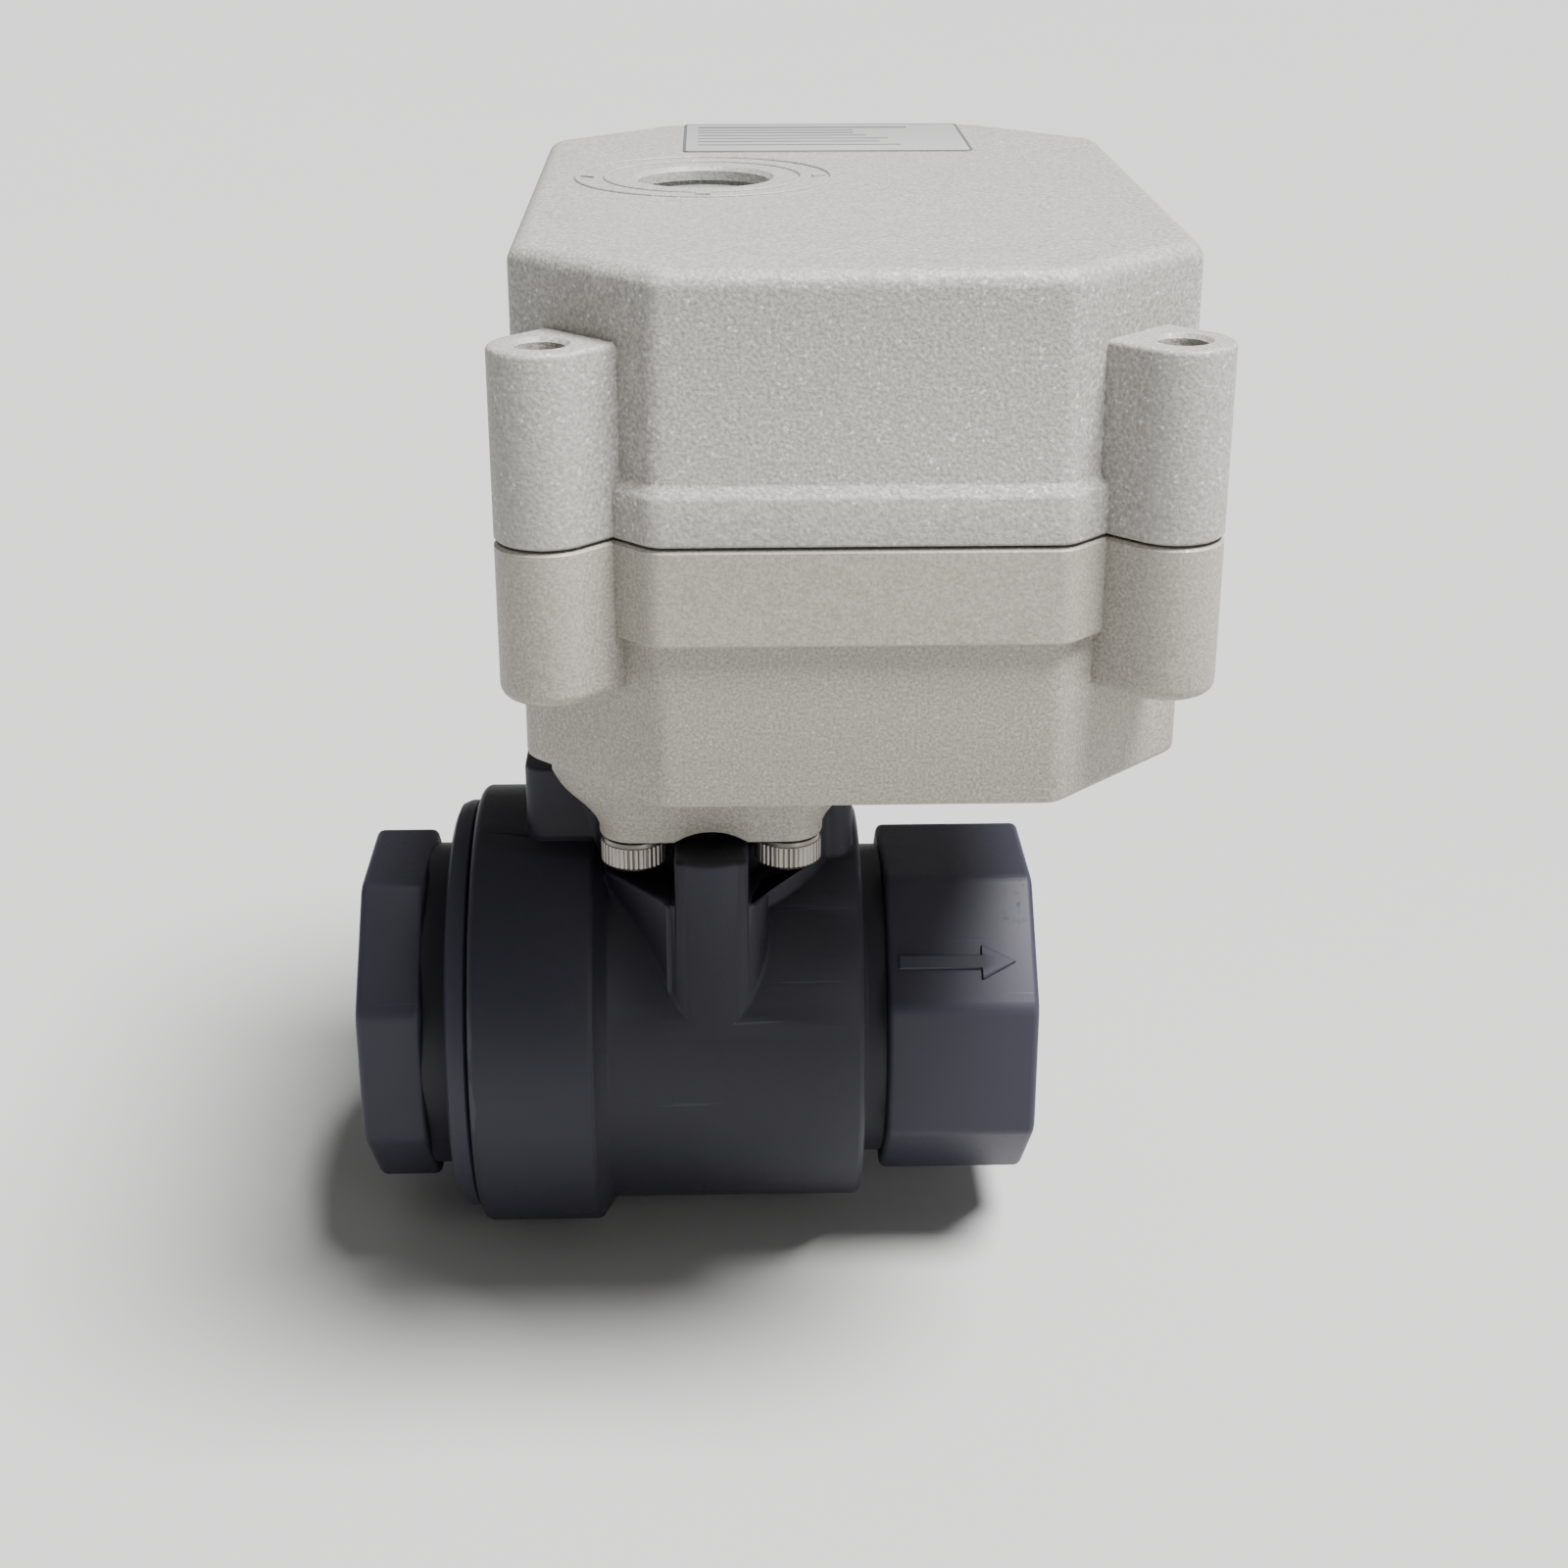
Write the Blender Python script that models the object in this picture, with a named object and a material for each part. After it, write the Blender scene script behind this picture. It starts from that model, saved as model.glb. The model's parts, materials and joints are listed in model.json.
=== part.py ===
"""Motorised quarter-turn ball valve: a gear actuator bolted to a threaded plastic valve.

Every dimension is in millimetres and MM turns it into metres. The origin is the ball's centre,
the pipe runs along X with its outlet at +X, and Z is the stem's axis, pointing up.
The valve stands open, and the output turns clockwise seen from above to close it.
"""
import bpy
import bmesh
from math import acos, ceil, cos, pi, radians, sin, sqrt, tan
from mathutils import Matrix

MM = 0.001
SEGMENTS = 26          # facets of a round piece
SMALL = 14             # facets of a screw or a small hole
SHARP = radians(35)    # edges steeper than this stay sharp
GAP = 0.3              # between two pieces that touch
THROUGH = 5.0          # how far a cutter passes a wall

# Housing: a box with chamfered corners, split at the seam
HOUSING_X, HOUSING_Y = 15.7, -6.0
HALF_X, HALF_Y, LEG = 35.7, 52.5, 15.0
BOTTOM, STEP, SEAM, LIP_TOP, TOP = 52.4, 70.5, 80.9, 86.2, 108.5
LIP, WALL = 1.1, 2.8
FLOOR = BOTTOM + 3.0
GROOVE_OUT, GROOVE_IN, GROOVE_DEPTH = 0.05, -1.75, 1.75
BOSS_X, BOSS_Y, BOSS_R = 31.8, 48.85, 5.4
BOSS_LOW, BOSS_HIGH, BOSS_INWARD = 64.2, 100.8, 7.5
SCREW_R, HEAD_R, COUNTERBORE_R, HEAD_LOW, HEAD_H = 1.25, 2.25, 2.6, 94.5, 2.6
RECESS_HALF, RECESS_REACH, RECESS_DEPTH = 0.3, 1.4, 1.2
COVER_SCREW_TIP = 68.0

# Window, lens and label in the cover
WINDOW_R, LENS_R, LENS_LOW, LENS_H = 7.8, 9.4, 105.0, 1.6
LABEL_X, LABEL_Y, LABEL_W, LABEL_D, LABEL_LOW, LABEL_H = 15.6, 31.9, 36.4, 25.0, 108.6, 0.2

# Foot under the housing and the screws that come up through it
FOOT_LOW, FOOT_LOBE_TOP, FOOT_FLARE_TOP = 31.1, 32.6, 40.5
FOOT_HALF_X, FOOT_HALF_Y, FOOT_FLARE_X, FOOT_FLARE_Y = 13.8, 19.3, 19.3, 21.5
LOBE_X, LOBE_Y, LOBE_R = 9.5, 15.0, 4.3
ARCH_R, ARCH_Z = 7.8, 24.9
FOOT_CAVITY_R, FOOT_FLOOR = 13.2, 36.0
POST_R, PCB_POST_R, BUSH_BORE_R = 4.6, 2.2, 10.3
MOUNT_R, MOUNT_HEAD_R, MOUNT_HEAD_H, MOUNT_TIP = 2.5, 4.25, 3.6, 60.0
SOCKET_FLAT, SOCKET_DEPTH = 2.0, 2.2

# Valve, all turned about X
BODY_R, COLLAR_R, GROOVE_R, OCT_HALF = 26.18, 29.0, 20.5, 21.5
BODY_LEFT, COLLAR_RIGHT, BODY_RIGHT, OCT_LEFT, VALVE_RIGHT = -30.3, -14.8, 19.0, 22.0, 41.12
VALVE_LEFT, CAP_OCT_RIGHT, CAP_FLANGE_LEFT, CAP_FLANGE_R, CAP_NECK_R = -44.76, -36.5, -33.4, 27.0, 21.3
INSERT_R, INSERT_RIGHT, O_RING_SEAT_R = 21.7, -13.3, 20.2
PORT_R, PORT_DEPTH, BORE_R = 15.3, 18.0, 10.0
BALL_R, CAVITY_R, CAVITY_HALF = 18.0, 18.8, 13.0
SEAT_IN, SEAT_OUT, SEAT_BACK = 10.3, 14.7, 17.0
NECK_R, NECK_TOP, POCKET_Z, POCKET_R, RIB_R, RIB_Y = 17.2, 30.7, 24.6, 5.0, 7.0, 17.4
EAR_LEFT, EAR_LEFT_TOP, EAR_RIGHT, EAR_RIGHT_TOP, EAR_HALF_Y = -23.4, 37.0, 18.0, 33.0, 9.0
SPIGOT_R, SPIGOT_TOP = 8.6, 41.5
STEM_R, STEM_BORE_R, STEM_TOP, SQUARE = 4.9, 5.2, 50.3, 7.0

# Output shaft and what turns with it
SHAFT_LOW, SHAFT_R, SHAFT_SHOULDER, SPINDLE_R = 44.3, 8.0, 58.3, 6.0
TIP_LOW, TIP_R, SHAFT_TOP = 98.6, 4.0, 101.9
CAM_LOW, CAM_H, CAM_PITCH, CAM_BASE, CAM_RISE = 64.5, 4.5, 5.9, 9.6, 0.7
DIAL_R, DIAL_LOW, DIAL_H = 8.8, 102.2, 1.4

# Gear train: stub teeth, 25 degree flanks. Wheels and pinions share two modules
FLANK = radians(25)
BACKLASH = 0.16
SMALL_MODULE, LARGE_MODULE = 0.8, 1.0
PINION_TEETH, WHEEL_TEETH, SECTOR_TEETH = 12, 36, 44
SECTOR_MIDDLE, SECTOR_SIDE = radians(35), 8
LEVEL_C, LEVEL_B, LEVEL_A, GEAR_TOP = 87.0, 90.6, 94.2, 98.2
PLATE_LOW, PLATE_HIGH, PLATE_H = 84.3, 99.0, 1.5
AXLE_R, AXLE_BORE = 1.5, 1.8
MOTOR_R, MOTOR_LOW, GEARHEAD_R, GEARHEAD_LOW = 11.0, 59.5, 11.5, 74.8
PILLARS = ((-11.0, -37.0), (39.0, -40.0), (-13.8, 3.5), (39.5, 9.5))

# Circuit board and switches
PCB_X, PCB_Y, PCB_W, PCB_D, PCB_LOW, PCB_H = 16.5, 25.0, 47.0, 24.0, 62.3, 1.6
PCB_POSTS = ((36.0, 17.0), (36.0, 33.0), (-2.0, 33.0))
SWITCH_W, SWITCH_D, SWITCH_H, SWITCH_X, SWITCH_Y = 20.0, 9.5, 5.2, 3.0, 13.0
PLUNGER_R, PLUNGER_BACK, CAM_GAP = 1.2, 15.9, 0.15

# Cable gland in the rear wall
GLAND_X, GLAND_Z, GLAND_R, GLAND_FLAT = 26.5, 63.5, 5.0, 6.2


# ---- materials ----

def material(name, colour, roughness, metallic=0.0, alpha=1.0):
    """A Principled material with a plain colour."""
    result = bpy.data.materials.new(name)
    result.use_nodes = True
    shader = result.node_tree.nodes["Principled BSDF"]
    shader.inputs["Base Color"].default_value = (*colour, 1.0)
    shader.inputs["Roughness"].default_value = roughness
    shader.inputs["Metallic"].default_value = metallic
    shader.inputs["Alpha"].default_value = alpha
    result.diffuse_color = (*colour, alpha)
    return result


def make_materials():
    """Every finish of the valve and its actuator, by name."""
    return {
        "cover_grey": material("cover_grey", (0.52, 0.51, 0.47), 0.55),
        "base_grey": material("base_grey", (0.50, 0.49, 0.45), 0.48),
        "valve_plastic": material("valve_plastic", (0.028, 0.032, 0.045), 0.42),
        "stainless": material("stainless", (0.62, 0.60, 0.57), 0.28, 1.0),
        "steel": material("steel", (0.55, 0.55, 0.56), 0.32, 1.0),
        "brass": material("brass", (0.72, 0.52, 0.22), 0.30, 1.0),
        "seat_plastic": material("seat_plastic", (0.85, 0.85, 0.83), 0.40),
        "rubber": material("rubber", (0.02, 0.02, 0.02), 0.75),
        "gear_plastic": material("gear_plastic", (0.80, 0.79, 0.74), 0.38),
        "lens": material("lens", (0.80, 0.84, 0.86), 0.08, 0.0, 0.35),
        "label": material("label", (0.72, 0.72, 0.70), 0.35),
        "dial": material("dial", (0.30, 0.31, 0.31), 0.45),
        "board": material("board", (0.03, 0.18, 0.08), 0.45),
        "switch_body": material("switch_body", (0.03, 0.03, 0.035), 0.45),
        "plunger_red": material("plunger_red", (0.55, 0.04, 0.03), 0.40),
        "relay_blue": material("relay_blue", (0.04, 0.14, 0.42), 0.40),
        "terminal_green": material("terminal_green", (0.04, 0.30, 0.12), 0.45),
        "gland_grey": material("gland_grey", (0.30, 0.31, 0.32), 0.50),
    }


# ---- outlines ----

def octagon(half_x, half_y, leg, grow=0.0):
    """Corners of a rectangle with 45 degree chamfers, all moved outwards by grow."""
    x, y = half_x + grow, half_y + grow
    c = leg + grow * (2 - sqrt(2))
    right, left = [(x, c - y), (x, y - c)], [(-x, y - c), (-x, c - y)]
    return right + [(x - c, y), (c - x, y)] + left + [(c - x, -y), (x - c, -y)]


def housing(grow=0.0):
    """The housing's plan about its own centre."""
    return octagon(HALF_X, HALF_Y, LEG, grow)


def rounded(half_x, half_y, radius, steps=4):
    """A rectangle with round corners, counter-clockwise."""
    points = []
    for quarter, (sx, sy) in enumerate(((1, 1), (-1, 1), (-1, -1), (1, -1))):
        for step in range(steps):
            turn = (quarter + step / (steps - 1)) * pi / 2
            points.append((sx * (half_x - radius) + radius * cos(turn),
                           sy * (half_y - radius) + radius * sin(turn)))
    return points


def circle(radius, steps=SEGMENTS, x=0.0, y=0.0, phase=0.0):
    """Points round a circle."""
    return [(x + radius * cos(2 * pi * i / steps + phase), y + radius * sin(2 * pi * i / steps + phase))
            for i in range(steps)]


def polygon(flat, sides, phase=0.0):
    """A regular polygon whose flats lie at the distance flat from its centre."""
    return circle(flat / cos(pi / sides), sides, phase=phase + pi / sides)


def boss(sx, sy, steps=9):
    """Plan of a screw boss: round outside, straight sides running in to the chamfer."""
    out = pi / 4 if sx == sy == 1 else {(-1, 1): 3, (-1, -1): 5, (1, -1): 7}[(sx, sy)] * pi / 4
    x, y = sx * BOSS_X, sy * BOSS_Y
    turns = [out + (i / steps - 0.5) * pi for i in range(steps + 1)]
    points = [(x + BOSS_R * cos(turn), y + BOSS_R * sin(turn)) for turn in turns]
    inward = (-cos(out) * BOSS_INWARD, -sin(out) * BOSS_INWARD)
    points.append((points[-1][0] + inward[0], points[-1][1] + inward[1]))
    points.append((points[0][0] + inward[0], points[0][1] + inward[1]))
    return points


def tooth(teeth, module):
    """One tooth's side as (radius, half angle) from root to tip, on an involute.

    The flanks of a large gear are near enough straight to do without the pitch point.
    """
    pitch_r = teeth * module / 2
    base_r = pitch_r * cos(FLANK)
    tip_r = pitch_r + 0.8 * module
    at_pitch = pi / (2 * teeth) - BACKLASH / (2 * pitch_r)
    involute = tan(FLANK) - FLANK

    def half_angle(radius):
        angle = acos(min(1.0, base_r / radius))
        return at_pitch + involute - (tan(angle) - angle)

    root_r = pitch_r - module
    low_r = max(base_r, root_r)
    side = [(root_r, half_angle(low_r)), (pitch_r, half_angle(pitch_r)), (tip_r, half_angle(tip_r))]
    return side if teeth < WHEEL_TEETH else side[::2]


def gear(teeth, module, phase):
    """A gear's outline with one tooth centred at phase."""
    side = tooth(teeth, module)
    points = []
    for index in range(teeth):
        middle = phase + 2 * pi * index / teeth
        points += [(r * cos(middle - a), r * sin(middle - a)) for r, a in side]
        points += [(r * cos(middle + a), r * sin(middle + a)) for r, a in reversed(side)]
    return points


def sector(hub_r):
    """The output gear: teeth over part of the circle and a plain hub over the rest."""
    side = tooth(SECTOR_TEETH, LARGE_MODULE)
    pitch = 2 * pi / SECTOR_TEETH
    points = []
    for index in range(-SECTOR_SIDE, SECTOR_SIDE + 1):
        middle = SECTOR_MIDDLE + index * pitch
        points += [(r * cos(middle - a), r * sin(middle - a)) for r, a in side]
        points += [(r * cos(middle + a), r * sin(middle + a)) for r, a in reversed(side)]
    start = SECTOR_MIDDLE + (SECTOR_SIDE + 0.5) * pitch
    plain = 2 * pi - (2 * SECTOR_SIDE + 1) * pitch
    steps = 16
    points += [(hub_r * cos(start + plain * i / steps), hub_r * sin(start + plain * i / steps))
               for i in range(steps + 1)]
    return points


def meshing(direction, phase, teeth, other_teeth):
    """Phase of a gear that meshes with another seen in the given direction."""
    return direction + pi - ((phase - direction) * teeth + pi) / other_teeth


def cam(rising):
    """A cam whose radius changes evenly over the quarter turn that passes the switch."""
    points = []
    steps = 48
    for index in range(steps):
        turn = 2 * pi * index / steps
        share = min(max((turn - pi / 2) / (pi / 2), 0.0), 1.0)
        fade = min(max((turn - 1.15 * pi) / (0.35 * pi), 0.0), 1.0)
        lift = share * (1 - fade) if rising else 1 - share
        if not rising:
            lift = max(lift if turn > pi / 3 else turn / (pi / 3), 0.0)
        points.append(((CAM_BASE + CAM_RISE * lift) * cos(turn), (CAM_BASE + CAM_RISE * lift) * sin(turn)))
    return points


# ---- solids ----

def loft(sections, ring=False):
    """A closed solid through (outline, height) sections of equal point count.

    As a ring the last section joins the first, so the solid has a hole through it.
    """
    bm = bmesh.new()
    rows = [[bm.verts.new((x, y, z)) for x, y in outline] for outline, z in sections]
    pairs = list(zip(rows, rows[1:]))
    if ring:
        pairs.append((rows[-1], rows[0]))
    else:
        bm.faces.new(reversed(rows[0]))
        bm.faces.new(rows[-1])
    for low, high in pairs:
        for i, start in enumerate(low):
            j = (i + 1) % len(low)
            bm.faces.new((start, low[j], high[j], high[i]))
    bmesh.ops.recalc_face_normals(bm, faces=bm.faces)
    return bm


def prism(outline, low, high):
    """An outline pushed straight up."""
    return loft([(outline, low), (outline, high)])


def cylinder(radius, low, high, x=0.0, y=0.0, steps=SEGMENTS):
    """A round bar along Z."""
    return prism(circle(radius, steps, x, y), low, high)


def block(x0, x1, y0, y1, z0, z1):
    """A box between two corners."""
    return prism([(x0, y0), (x1, y0), (x1, y1), (x0, y1)], z0, z1)


def turned(profile, steps=SEGMENTS):
    """A solid turned about Z from (radius, height) points.

    A profile that starts and ends on the axis is solid; any other is a ring.
    """
    bm = bmesh.new()
    rows = []
    for radius, height in profile:
        count = steps if radius > 0 else 1
        turns = [2 * pi * i / steps for i in range(count)]
        rows.append([bm.verts.new((radius * cos(turn), radius * sin(turn), height)) for turn in turns])
    pairs = list(zip(rows, rows[1:]))
    if profile[0][0] > 0:
        pairs.append((rows[-1], rows[0]))
    for a, b in pairs:
        pole, ring = (a, b) if len(a) == 1 else (b, a)
        if len(pole) == 1 and pole[0].co.z == ring[0].co.z:
            bm.verts.remove(pole[0])
            bm.faces.new(ring)
            continue
        for i in range(steps):
            j = (i + 1) % steps
            corners = [a[i % len(a)], a[j % len(a)], b[j % len(b)], b[i % len(b)]]
            bm.faces.new(list(dict.fromkeys(corners)))
    bmesh.ops.recalc_face_normals(bm, faces=bm.faces)
    return bm


def torus(ring_r, wire_r, height, steps=20, sides=6):
    """A rubber ring."""
    return turned([(ring_r + wire_r * cos(2 * pi * i / sides), height + wire_r * sin(2 * pi * i / sides))
                   for i in range(sides)], steps)


def along_x(bm):
    """Turn a solid so that its Z axis points along X."""
    bm.transform(Matrix.Rotation(pi / 2, 4, "Y"))
    return bm


def along_y(bm):
    """Turn a solid so that its Z axis points along Y."""
    bm.transform(Matrix.Rotation(-pi / 2, 4, "X"))
    return bm


def moved(bm, x=0.0, y=0.0, z=0.0):
    """Shift a solid."""
    bm.transform(Matrix.Translation((x, y, z)))
    return bm


def temporary(bm):
    """An object for a bmesh, which it frees."""
    mesh = bpy.data.meshes.new("tool")
    bm.to_mesh(mesh)
    bm.free()
    result = bpy.data.objects.new("tool", mesh)
    bpy.context.scene.collection.objects.link(result)
    return result


def discard(thing):
    """Remove an object and its mesh."""
    mesh = thing.data
    bpy.data.objects.remove(thing)
    bpy.data.meshes.remove(mesh)


def shape(base, add=(), cut=()):
    """One solid: base joined with every solid in add, then cleared of every solid in cut."""
    target = temporary(base)
    for operation, solids in (("UNION", add), ("DIFFERENCE", cut)):
        for bm in solids:
            tool = temporary(bm)
            modifier = target.modifiers.new("Boolean", "BOOLEAN")
            modifier.operation = operation
            modifier.solver = "EXACT"
            modifier.object = tool
            evaluated = target.evaluated_get(bpy.context.evaluated_depsgraph_get())
            mesh = bpy.data.meshes.new_from_object(evaluated)
            target.modifiers.clear()
            old = target.data
            target.data = mesh
            bpy.data.meshes.remove(old)
            discard(tool)
    result = bmesh.new()
    result.from_mesh(target.data)
    discard(target)
    return result


def piece(name, bm, finish, at=(0.0, 0.0, 0.0), parent=None):
    """A named piece of the assembly, in metres, with its own finish."""
    bmesh.ops.remove_doubles(bm, verts=bm.verts, dist=0.0005)
    mesh = bpy.data.meshes.new(name)
    bm.to_mesh(mesh)
    bm.free()
    mesh.transform(Matrix.Scale(MM, 4))
    mesh.shade_smooth()
    mesh.set_sharp_from_angle(angle=SHARP)
    mesh.materials.append(finish)
    result = bpy.data.objects.new(name, mesh)
    result.location = [value * MM for value in at]
    result.parent = parent
    bpy.context.scene.collection.objects.link(result)
    return result


def copies(name, bm, finish, places):
    """The same piece at several places, sharing one mesh."""
    first = piece(name + "_1", bm, finish, places[0])
    for number, place in enumerate(places[1:], start=2):
        other = bpy.data.objects.new(f"{name}_{number}", first.data)
        other.location = [value * MM for value in place]
        bpy.context.scene.collection.objects.link(other)


def joint_axis(name, at):
    """An empty on a moving body's axis."""
    result = bpy.data.objects.new(name, None)
    result.location = [value * MM for value in at]
    result.empty_display_size = 0.01
    bpy.context.scene.collection.objects.link(result)
    return result


# ---- housing ----

CORNERS = ((1, 1), (-1, 1), (-1, -1), (1, -1))
MOUNT_PLACES = [(sx * LOBE_X, sy * LOBE_Y) for sx, sy in CORNERS]


def from_housing(x, y):
    """A place given from the stem's axis, as seen from the housing's centre."""
    return x - HOUSING_X, y - HOUSING_Y


def make_base(finish):
    """The lower shell, with its lip, corner bosses, gasket groove and inner posts."""
    top = SEAM - GAP / 2
    shell = loft([(housing(), BOTTOM), (housing(), STEP), (housing(LIP), STEP), (housing(LIP), top)])
    bosses = [prism(boss(*corner), BOSS_LOW, top) for corner in CORNERS]
    hollow = prism(housing(-WALL), FLOOR, top + THROUGH)
    shell = shape(shell, bosses, [hollow])
    post_top = MOUNT_TIP + 1.5
    mounts = [from_housing(x, y) for x, y in MOUNT_PLACES]
    posts = [cylinder(POST_R, FLOOR - 1, post_top, x, y, SMALL) for x, y in mounts]
    posts += [cylinder(PCB_POST_R, FLOOR - 1, PCB_LOW - GAP, *from_housing(x, y), 12) for x, y in PCB_POSTS]
    outer, inner = housing(GROOVE_OUT), housing(GROOVE_IN)
    low, high = top - GROOVE_DEPTH, top + THROUGH
    groove = loft([(outer, low), (outer, high), (inner, high), (inner, low)], ring=True)
    cuts = [groove, cylinder(BUSH_BORE_R, BOTTOM - THROUGH, FLOOR + THROUGH, *from_housing(0, 0))]
    cuts += [cylinder(MOUNT_R + GAP, BOTTOM - THROUGH, MOUNT_TIP + GAP, x, y, SMALL) for x, y in mounts]
    for sx, sy in CORNERS:
        cuts.append(cylinder(SCREW_R + GAP, COVER_SCREW_TIP - GAP, high, sx * BOSS_X, sy * BOSS_Y, SMALL))
    gland_x, _ = from_housing(GLAND_X, 0)
    gland_hole = along_y(cylinder(GLAND_R + GAP, HALF_Y - WALL - THROUGH, HALF_Y + THROUGH, steps=24))
    cuts.append(moved(gland_hole, x=gland_x, z=GLAND_Z))
    piece("base_housing", shape(shell, posts, cuts), finish, (HOUSING_X, HOUSING_Y, 0))


def make_cover(finish):
    """The upper shell, with its rounded top edge, counterbored bosses and window."""
    low = SEAM + GAP / 2
    shell = loft([(housing(LIP), low), (housing(LIP), LIP_TOP), (housing(), LIP_TOP + LIP),
                  (housing(), TOP - 2.2), (housing(-0.7), TOP - 0.7), (housing(-2.2), TOP)])
    bosses = [prism(boss(*corner), low, BOSS_HIGH) for corner in CORNERS]
    hollow = prism(housing(-WALL), low - THROUGH, TOP - WALL)
    window = from_housing(0, 0)
    cuts = [hollow, cylinder(WINDOW_R, TOP - THROUGH, TOP + THROUGH, *window),
            cylinder(LENS_R + GAP, LENS_LOW - THROUGH, LENS_LOW + LENS_H + GAP, *window)]
    for sx, sy in CORNERS:
        x, y = sx * BOSS_X, sy * BOSS_Y
        cuts.append(cylinder(SCREW_R + GAP, low - THROUGH, BOSS_HIGH, x, y, SMALL))
        cuts.append(cylinder(COUNTERBORE_R, HEAD_LOW - GAP, BOSS_HIGH + THROUGH, x, y, 18))
    piece("top_cover", shape(shell, bosses, cuts), finish, (HOUSING_X, HOUSING_Y, 0))


def make_cover_details(finishes):
    """Gasket, lens, label and the four cover screws."""
    low, high = SEAM - GAP / 2 - GROOVE_DEPTH + 0.2, SEAM
    outer, inner = housing(GROOVE_OUT - 0.2), housing(GROOVE_IN + 0.2)
    gasket = loft([(outer, low), (outer, high), (inner, high), (inner, low)], ring=True)
    piece("cover_gasket", gasket, finishes["rubber"], (HOUSING_X, HOUSING_Y, 0))
    piece("window_lens", cylinder(LENS_R, 0, LENS_H), finishes["lens"], (0, 0, LENS_LOW))
    label = prism(rounded(LABEL_W / 2, LABEL_D / 2, 1.0), 0, LABEL_H)
    piece("rating_label", label, finishes["label"], (LABEL_X, LABEL_Y, LABEL_LOW))
    tip = COVER_SCREW_TIP - HEAD_LOW
    screw = turned([(0, tip), (SCREW_R, tip + 0.6), (SCREW_R, 0), (HEAD_R, 0),
                    (HEAD_R, HEAD_H - 0.4), (HEAD_R - 0.4, HEAD_H), (0, HEAD_H)], 12)
    near, far = RECESS_HALF, RECESS_REACH
    arm = [(near, near), (near, far), (-near, far)]
    cross = []
    for quarter in range(4):
        c, s = round(cos(quarter * pi / 2)), round(sin(quarter * pi / 2))
        cross += [(x * c - y * s, x * s + y * c) for x, y in arm]
    recess = prism(cross, HEAD_H - RECESS_DEPTH, HEAD_H + 1)
    places = [(HOUSING_X + sx * BOSS_X, HOUSING_Y + sy * BOSS_Y, HEAD_LOW) for sx, sy in CORNERS]
    copies("cover_screw", shape(screw, cut=[recess]), finishes["stainless"], places)


def foot_sections(grow, low, high):
    """The foot's flared plan at its four heights."""
    narrow = rounded(FOOT_HALF_X + grow, FOOT_HALF_Y + grow, LOBE_R + grow)
    wide = rounded(FOOT_FLARE_X + grow, FOOT_FLARE_Y + grow, LOBE_R + grow)
    return [(narrow, low), (narrow, FOOT_LOBE_TOP), (wide, FOOT_FLARE_TOP), (wide, high)]


def make_foot(finishes):
    """The flared foot, hollow round the shaft, with its four long screws."""
    solid = loft(foot_sections(0, FOOT_LOW, BOTTOM - GAP))
    reach = 2 * FOOT_FLARE_Y
    cuts = [cylinder(FOOT_CAVITY_R, FOOT_FLOOR, BOTTOM + THROUGH),
            cylinder(SPIGOT_R + GAP, FOOT_LOW - THROUGH, FOOT_FLOOR + THROUGH),
            moved(along_y(cylinder(ARCH_R, -reach, reach)), z=ARCH_Z)]
    cuts += [cylinder(MOUNT_R + GAP, FOOT_LOW - THROUGH, BOTTOM + THROUGH, x, y, SMALL)
             for x, y in MOUNT_PLACES]
    piece("mounting_foot", shape(solid, cut=cuts), finishes["base_grey"])
    seat = FOOT_LOW - GAP
    tip = MOUNT_TIP - seat
    low = -MOUNT_HEAD_H
    screw = turned([(0, low), (MOUNT_HEAD_R - 0.4, low), (MOUNT_HEAD_R, low + 0.4), (MOUNT_HEAD_R, 0),
                    (MOUNT_R, 0), (MOUNT_R, tip - 0.6), (0, tip)], SMALL)
    socket = prism(polygon(SOCKET_FLAT, 6), low - 1, low + SOCKET_DEPTH)
    places = [(x, y, seat) for x, y in MOUNT_PLACES]
    copies("mount_screw", shape(screw, cut=[socket]), finishes["stainless"], places)


def make_gland(finishes):
    """The cable gland in the rear wall, sealed by its rubber plug."""
    wall = HOUSING_Y + HALF_Y
    at = (GLAND_X, wall, GLAND_Z)
    inner = -WALL - GAP
    flange = prism(polygon(GLAND_FLAT, 6, pi / 6), GAP, 4.0)
    tube = cylinder(GLAND_R, inner - 4.5, 10.0, steps=24)
    body = shape(flange, [tube], [cylinder(3.0, inner - 10, 20, steps=20)])
    piece("cable_gland_body", along_y(body), finishes["gland_grey"], at)
    nut = turned([(GLAND_R + GAP, 4.3), (6.4, 4.3), (6.4, 12.0), (4.6, 14.0), (3.0, 14.0), (3.0, 10.5),
                  (GLAND_R + GAP, 10.5)], 24)
    piece("cable_gland_nut", along_y(nut), finishes["gland_grey"], at)
    seal = cylinder(2.7, inner - 4.0, 13.6, steps=20)
    piece("cable_gland_seal", along_y(seal), finishes["rubber"], at)
    locknut = shape(prism(polygon(GLAND_FLAT, 6, pi / 6), inner - 3.0, inner),
                    cut=[cylinder(GLAND_R + GAP, inner - 10, 10, steps=24)])
    piece("cable_gland_locknut", along_y(locknut), finishes["gland_grey"], at)


# ---- valve ----

def octagon_end(left, right):
    """An octagonal wrench end along X, its edges eased."""
    full = polygon(OCT_HALF, 8)
    eased = polygon(OCT_HALF - 0.8, 8)
    return along_x(loft([(eased, left), (full, left + 0.8), (full, right - 0.8), (eased, right)]))


def bore_cut(radius, left, right):
    """A round cutter along X."""
    return along_x(cylinder(radius, left, right, steps=SEGMENTS))


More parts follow.
